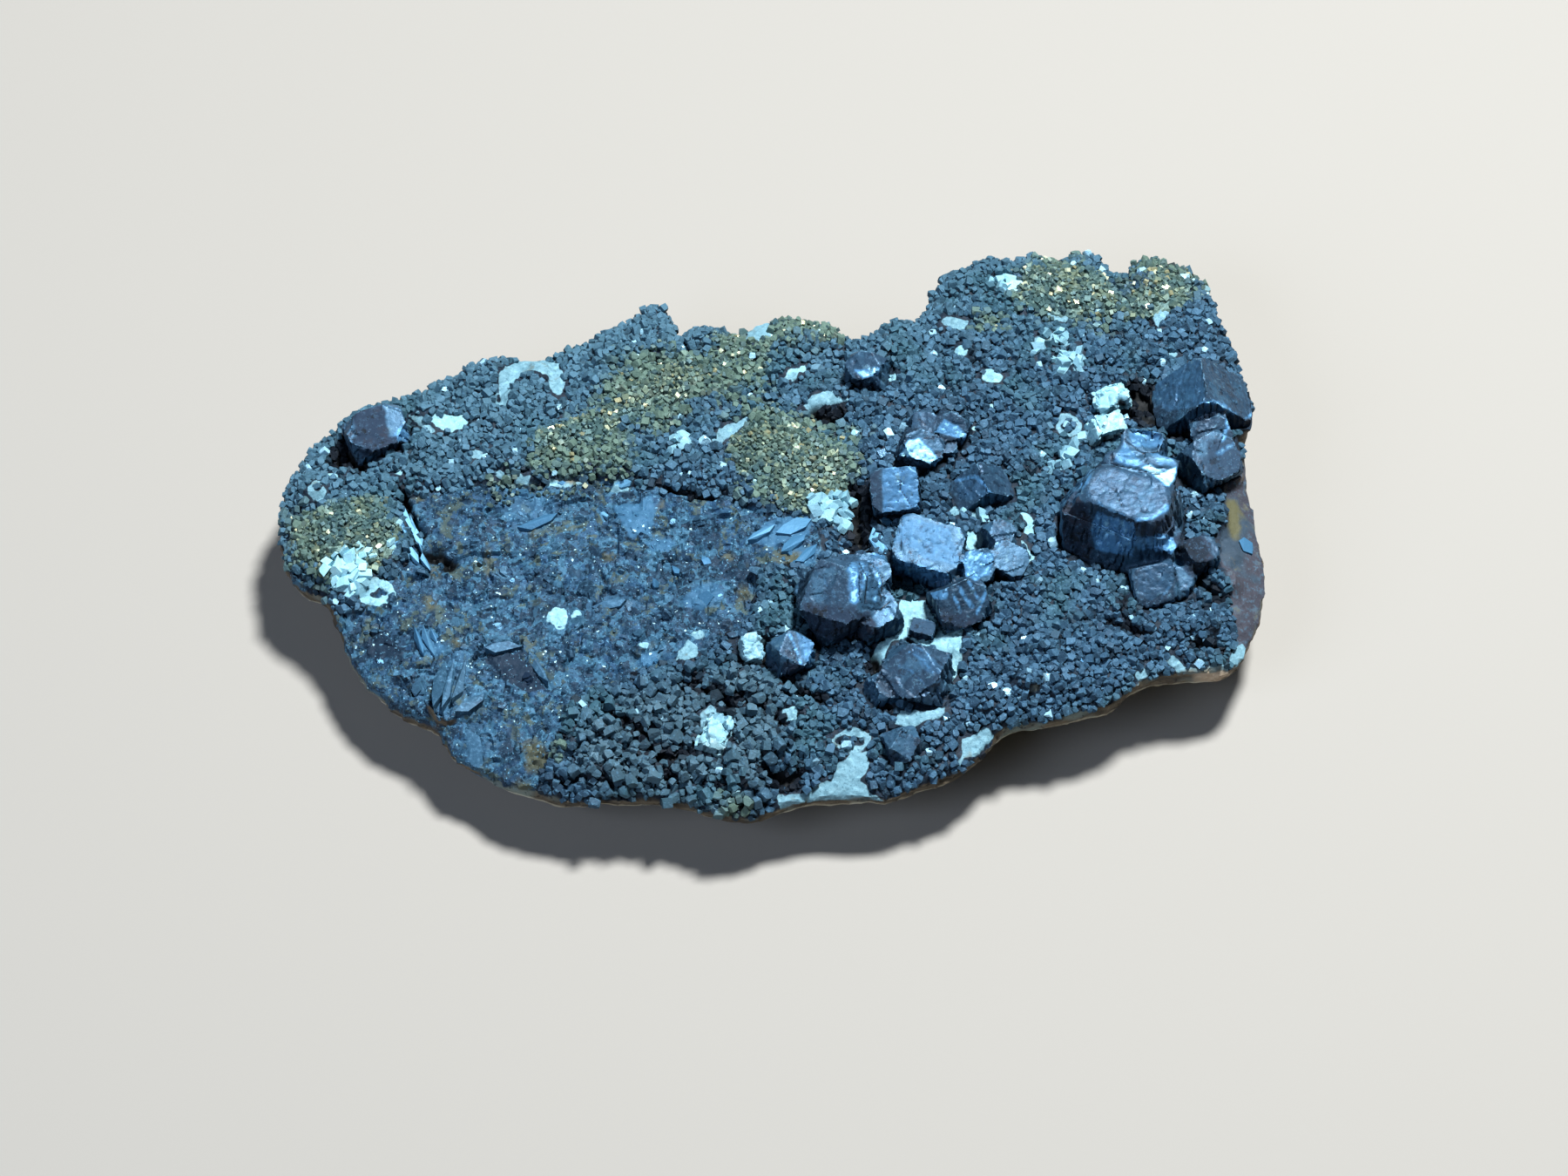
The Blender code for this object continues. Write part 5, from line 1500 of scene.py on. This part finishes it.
# painted highlights along edges and reflections, and bright scratches: half width in mm, strength, then the
# line
highlightsAndScratches = {
    "front": [
        (0.5, 1.5, [979, 652, 982, 668, 980, 688]), (0.3, 1.2, [988, 646, 994, 658, 990, 676]),
        (0.2, 1.3, [1004, 690, 1010, 672, 1006, 652]), (0.12, 0.6, [994, 708, 1004, 694]),
        (0.12, 0.5, [1012, 716, 1019, 698, 1018, 680]), (0.1, 0.5, [946, 664, 952, 676]),
    ],
    "lowStripe": [
        (0.16, 1.0, [1092, 680, 1104, 702]), (0.2, 1.0, [1100, 672, 1116, 696]),
        (0.16, 1.0, [1112, 668, 1126, 692]), (0.16, 1.0, [1122, 704, 1132, 678]),
    ],
    "scratch": [
        (0.1, 0.6, [1030, 650, 1040, 670]), (0.1, 0.5, [1048, 657, 1058, 674]),
        (0.1, 0.5, [1066, 664, 1074, 678]),
    ],
    "leftLowEdge": [(0.16, 1.2, [907, 729, 913, 744, 920, 762])],
    "low": [
        (0.14, 0.7, [1044, 748, 1060, 758, 1070, 772]), (0.12, 0.6, [1050, 742, 1066, 750]),
        (0.12, 0.5, [1032, 764, 1046, 770, 1062, 786]), (0.12, 0.6, [1088, 796, 1097, 788]),
    ],
    "ridge": [(0.12, 1.0, [1121, 547, 1130, 556, 1140, 566]), (0.1, 0.8, [1096, 551, 1118, 545])],
    "bevel": [(0.3, 1.3, [1379, 463, 1400, 463, 1418, 476])],
    "bevelDown": [(0.2, 1.2, [1411, 477, 1408, 492, 1404, 505])],
    "edgeCorner": [(0.16, 1.0, [1432, 480, 1439, 472])],
    "edgeRidge": [(0.12, 0.4, [1377, 410, 1380, 430, 1383, 456])],
    "middleEdge": [(0.22, 1.2, [1397, 520, 1412, 512, 1427, 507])],
    "middleSide": [(0.14, 0.5, [1425, 514, 1428, 548])],
    "rightRim": [
        (0.14, 0.6, [1262, 578, 1272, 586, 1290, 592]), (0.25, 1.1, [1306, 597, 1322, 596, 1340, 582]),
    ],
    "lowRight": [(0.14, 0.5, [1334, 686, 1346, 668])],
}
# cracks across the faces: half width in mm, then the line
faceCracks = {
    "frontTerraceA": (0.12, [986, 644, 996, 664, 994, 690]),
    "frontTerraceB": (0.12, [1000, 646, 1014, 664, 1012, 690]),
    "frontTerraceC": (0.12, [1010, 700, 1022, 690]),
    "centreA": (0.09, [1035, 587, 1033, 610, 1036, 636]), "centreB": (0.09, [1020, 605, 1014, 632]),
    "backFace": (0.09, [1035, 540, 1034, 562, 1048, 584]),
    "slabA": (0.09, [1292, 506, 1312, 520, 1335, 516]),
    "slabB": (0.09, [1312, 520, 1320, 536, 1342, 538]),
    "slabC": (0.09, [1275, 533, 1300, 538, 1330, 545]),
    "edgeA": (0.09, [1345, 500, 1364, 512, 1384, 520]),
    "edgeB": (0.09, [1382, 532, 1386, 556, 1392, 568, 1422, 577]),
    "rightTopA": (0.07, [1262, 548, 1280, 560, 1288, 580]), "hole": (0.35, [1286, 461, 1291, 468]),
}

# flats and chips: size, tilt, step and groove
crystalSettings = {
    "galena": {
        "slot": "galena", "voxel": 0.16, "flats": (2.8, 0.05, 0.04, 0.0),
        "chips": (1.1, 0.03, 0.015, 0), "inset": 0.05,
        "furrowDeep": 1.0, "furrowWave": 0.8, "pitDeep": 0.07, "crackDeep": 0.12,
        "sharpAngle": 32,
    },
    "dolomite": {
        "slot": "pale_dolomite", "voxel": 0.18, "flats": (1.4, 0.35, 0.35, 0.12),
        "chips": (0.7, 0.17, 0.1, 0), "inset": 0.1,
        "furrowDeep": 0.1, "furrowWave": 0.5, "pitDeep": 0.25, "crackDeep": 0.4,
        "sharpAngle": 32,
    },
}
# a top's outline and the height above which what lies outside it slopes away
slopedTops = {
    "galena_cluster_right": (14.2, [
        1250, 570, 1248, 552, 1262, 539, 1278, 533, 1300, 543, 1324, 546, 1337, 556, 1342, 576, 1330, 590,
        1312, 597, 1292, 590, 1268, 580,
    ]),
}
# how many smoothing steps wear each crystal's edges, where they are rounder than most
wornEdges = {"galena_cluster_right": 8, "galena_crystal_left_edge": 5}
# how far the CAD faces draw the worn form back, how steep and wide a top slopes away, and the
# directions that give each face its tone
wearSettings = {
    "smoothing": 2, "snapReach": 0.4, "slope": 0.7, "slopeWide": 2.4, "toneWay": (4.2, 6.6, 3.4),
}
# how white each dolomite crystal is, below 0 for the greyer ones
whiteness = {
    "dolomite_crystal_near_rim": -0.45, "dolomite_crystal_middle": -0.6, "dolomite_crystal_holed": -0.3,
}


def crystalMarks(points, facing):
    # how much painted sheen and highlight, stain and painted shade, and crack each point that faces the
    # camera gets, from outlines in the photograph's pixels
    bright, stain, groove = np.zeros((3, len(points)))
    seen = photoPlace(points) * mmPerPixel
    wander = 0.12 * fractalNoise(points, 0.8, 31, 2)
    patchy = 1 + 0.4 * np.clip(fractalNoise(points, 0.5, 36, 2), -1, 1)
    for strength, loop in paintedSheenFaces.values():
        depth = depthInAny(seen, [pairs(loop) * mmPerPixel])
        bright = np.maximum(bright, strength * smoothStep(depth + wander, -0.1, 0.2) * facing * patchy)
    for strength, loop in stainAndShadeFaces.values():
        depth = depthInAny(seen, [pairs(loop) * mmPerPixel])
        stain = np.maximum(stain, strength * smoothStep(depth + 3 * wander, -0.4, 0.4) * facing)
    broken = smoothStep(fractalNoise(points, 0.4, 34, 2), -0.3, 0.1)
    for wide, strength, line in sum(highlightsAndScratches.values(), []):
        away = lineDistance(seen, pairs(line) * mmPerPixel) + 1.2 * wander
        near = np.exp(-(away / wide) ** 2)
        bright = np.maximum(bright, strength * near * facing * (0.4 + 0.6 * broken))
    for wide, line in faceCracks.values():
        away = lineDistance(seen, pairs(line) * mmPerPixel)
        groove = np.maximum(groove, np.exp(-(away / wide) ** 2) * facing)
    return bright, stain, groove


def rounded(mesh, times):
    bm = opened(mesh)
    for _ in range(times):
        bmesh.ops.smooth_vert(
            bm, verts=bm.verts, factor=0.5, use_axis_x=True, use_axis_y=True, use_axis_z=True,
        )
    return closed(bm, mesh)


def snapped(mesh, tree, reach):
    # the worn form drawn back onto the flat faces of the CAD form, and a tone for each face
    points = meshPoints(mesh)
    tones = np.zeros(len(points))
    for i, point in enumerate(points):
        near, normal, _, away = tree.find_nearest(Vector(point))
        if away < reach:
            points[i] = near
        tones[i] = 0.5 + 0.5 * math.sin(normal.dot(Vector(wearSettings["toneWay"])))
    setPoints(mesh, points)
    return tones


def edgeHeight(mesh):
    # how far each point stands out over its neighbours, in mm: above 0 on an edge
    points = meshPoints(mesh)
    ends = np.empty(len(mesh.edges) * 2, int)
    mesh.edges.foreach_get("vertices", ends)
    ends = ends.reshape(-1, 2)
    total, count = np.zeros(points.shape), np.zeros(len(points))
    for here, there in (ends.T, ends.T[::-1]):
        np.add.at(total, here, points[there])
        np.add.at(count, here, 1)
    return ((points - total / count[:, None]) * meshNormals(mesh)).sum(axis=1)


def sloped(mesh, height, loop):
    # the rim of a crystal's top, outside its outline, drawn down
    points = meshPoints(mesh)
    outside = -depthInAny(photoPlace(points) * mmPerPixel, [pairs(loop) * mmPerPixel])
    drop = wearSettings["slope"] * smoothStep(points[:, 2], height, height + 1)
    points[:, 2] -= drop * np.clip(outside, 0, wearSettings["slopeWide"])
    setPoints(mesh, points)


def crystalRelief(points, normals, groove, values, layer):
    # how far each point moves outwards: tilted flats, furrows on the sides, pits and cracks
    upright = smoothStep(np.abs(normals[:, 2]), 0.75, 0.35)
    furrows = np.abs(fractalNoise(points * (1, 1, 0.14), values["furrowWave"], layer + 1, 2))
    pits = np.maximum(0, fractalNoise(points, 0.7, layer + 2) - 0.25)
    move = facets(points, *values["flats"], layer) + facets(points, *values["chips"], layer + 3)
    move -= values["furrowDeep"] * upright * np.maximum(0, 0.3 - furrows)
    return move - (values["pitDeep"] * pits + values["crackDeep"] * groove + values["inset"])


def dressCrystal(node):
    kind = node.split("_")[0]
    values = crystalSettings[kind]
    mesh = remeshed([nodeMesh(node)], values["voxel"])
    if node in slopedTops:
        sloped(mesh, *slopedTops[node])
    mesh = rounded(mesh, wornEdges.get(node, wearSettings["smoothing"]))
    reach = 0 if node in slopedTops else wearSettings["snapReach"]
    faceTone = snapped(mesh, crystalTrees[node], reach)
    edge = edgeHeight(mesh)
    points, normals = meshPoints(mesh), meshNormals(mesh)
    facing = smoothStep(normals @ np.array(Vector(cameraSettings["place"]).normalized()), 0.05, 0.3)
    bright, stain, groove = crystalMarks(points, facing)
    # painted shade in the concave corners
    groove = np.maximum(groove, 0.7 * smoothStep(-edge, 0.01, 0.04))
    veins = np.exp(-(fractalNoise(points, 1.6, 37, 3) / 0.05) ** 2)
    groove = np.maximum(groove, veins * facing * np.minimum(0.75, 0.35 + bright))
    # shown breaks up the painted highlight that the edge attribute lays on convex edges
    shown = 0.3 + 0.7 * smoothStep(fractalNoise(points, 0.6, 35, 2), -0.2, 0.2)
    height = points[:, 2] - points[:, 2].min() + 1.5 * fractalNoise(points, 1.6, 32)
    # stain also grows darker towards the bottom of each crystal
    for name, value in {
        "bright": bright, "stain": np.maximum(stain, 0.6 * smoothStep(height, 3.2, 0.2)), "groove": groove,
        "edge": smoothStep(edge, 0.012, 0.045) * shown, "faceTone": faceTone,
        "white": whiteness.get(node, 0),
    }.items():
        setAttribute(mesh, name, value)
    layer = sum(map(ord, node)) % 50  # each crystal has a noise of its own
    move = crystalRelief(points, normals, groove, values, layer)
    setPoints(mesh, np.clip(points + normals * move[:, None], boxLow, boxHigh))
    mesh.shade_smooth()
    mesh.set_sharp_from_angle(angle=math.radians(values["sharpAngle"]))
    finishPiece(node + "_grown", mesh, kind, [node])


for node in crystalNodes:
    dressCrystal(node)

plateMesh.shade_smooth()
plateMesh.set_sharp_from_angle(angle=math.radians(plateSettings["sharpAngle"]))
finishPiece("dolomite_matrix", plateMesh, "matrix", ["matrix_plate"])


# Stage: a plain pale floor and soft light from behind and above, as in the photograph

lightAim = (0, 0, 0.01)
floorSettings = {"size": 3, "colour": "#8a847c", "roughness": 0.9}
skySettings = {"colour": "#b4cbe0", "strength": 0.062}
lights = {
    "key": {"place": (0.16, 0.16, 0.61), "size": 0.12, "power": 14, "colour": "#eef6fc"},
    "fill": {"place": (-0.5, -0.45, 0.5), "size": 0.5, "power": 3.9, "colour": "#cfe2ff"},
}


def addLight(name, place, size, power, colour):
    data = bpy.data.lights.new(name, "AREA")
    data.shape = "DISK"
    data.size = size
    data.energy = power
    data.color = toLinear(colour)[:3]
    lamp = workObject(name, data)
    lamp.location = place
    lamp.rotation_euler = (Vector(lightAim) - lamp.location).to_track_quat("-Z", "Y").to_euler()


def addFloor():
    bm = bmesh.new()
    bmesh.ops.create_grid(bm, x_segments=1, y_segments=1, size=floorSettings["size"])
    mesh = closed(bm, bpy.data.meshes.new("floor"))
    paper = bpy.data.materials.new("pale paper")
    paper.use_nodes = True
    shader = paper.node_tree.nodes["Principled BSDF"]
    shader.inputs["Base Color"].default_value = toLinear(floorSettings["colour"])
    shader.inputs["Roughness"].default_value = floorSettings["roughness"]
    mesh.materials.append(paper)
    workObject("floor", mesh)


addFloor()
for name, values in lights.items():
    addLight(name, **values)
world = bpy.data.worlds.new("studio")
world.use_nodes = True
sky = world.node_tree.nodes["Background"]
sky.inputs["Color"].default_value = toLinear(skySettings["colour"])
sky.inputs["Strength"].default_value = skySettings["strength"]
bpy.context.scene.world = world
bpy.context.scene.view_settings.view_transform = "Standard"
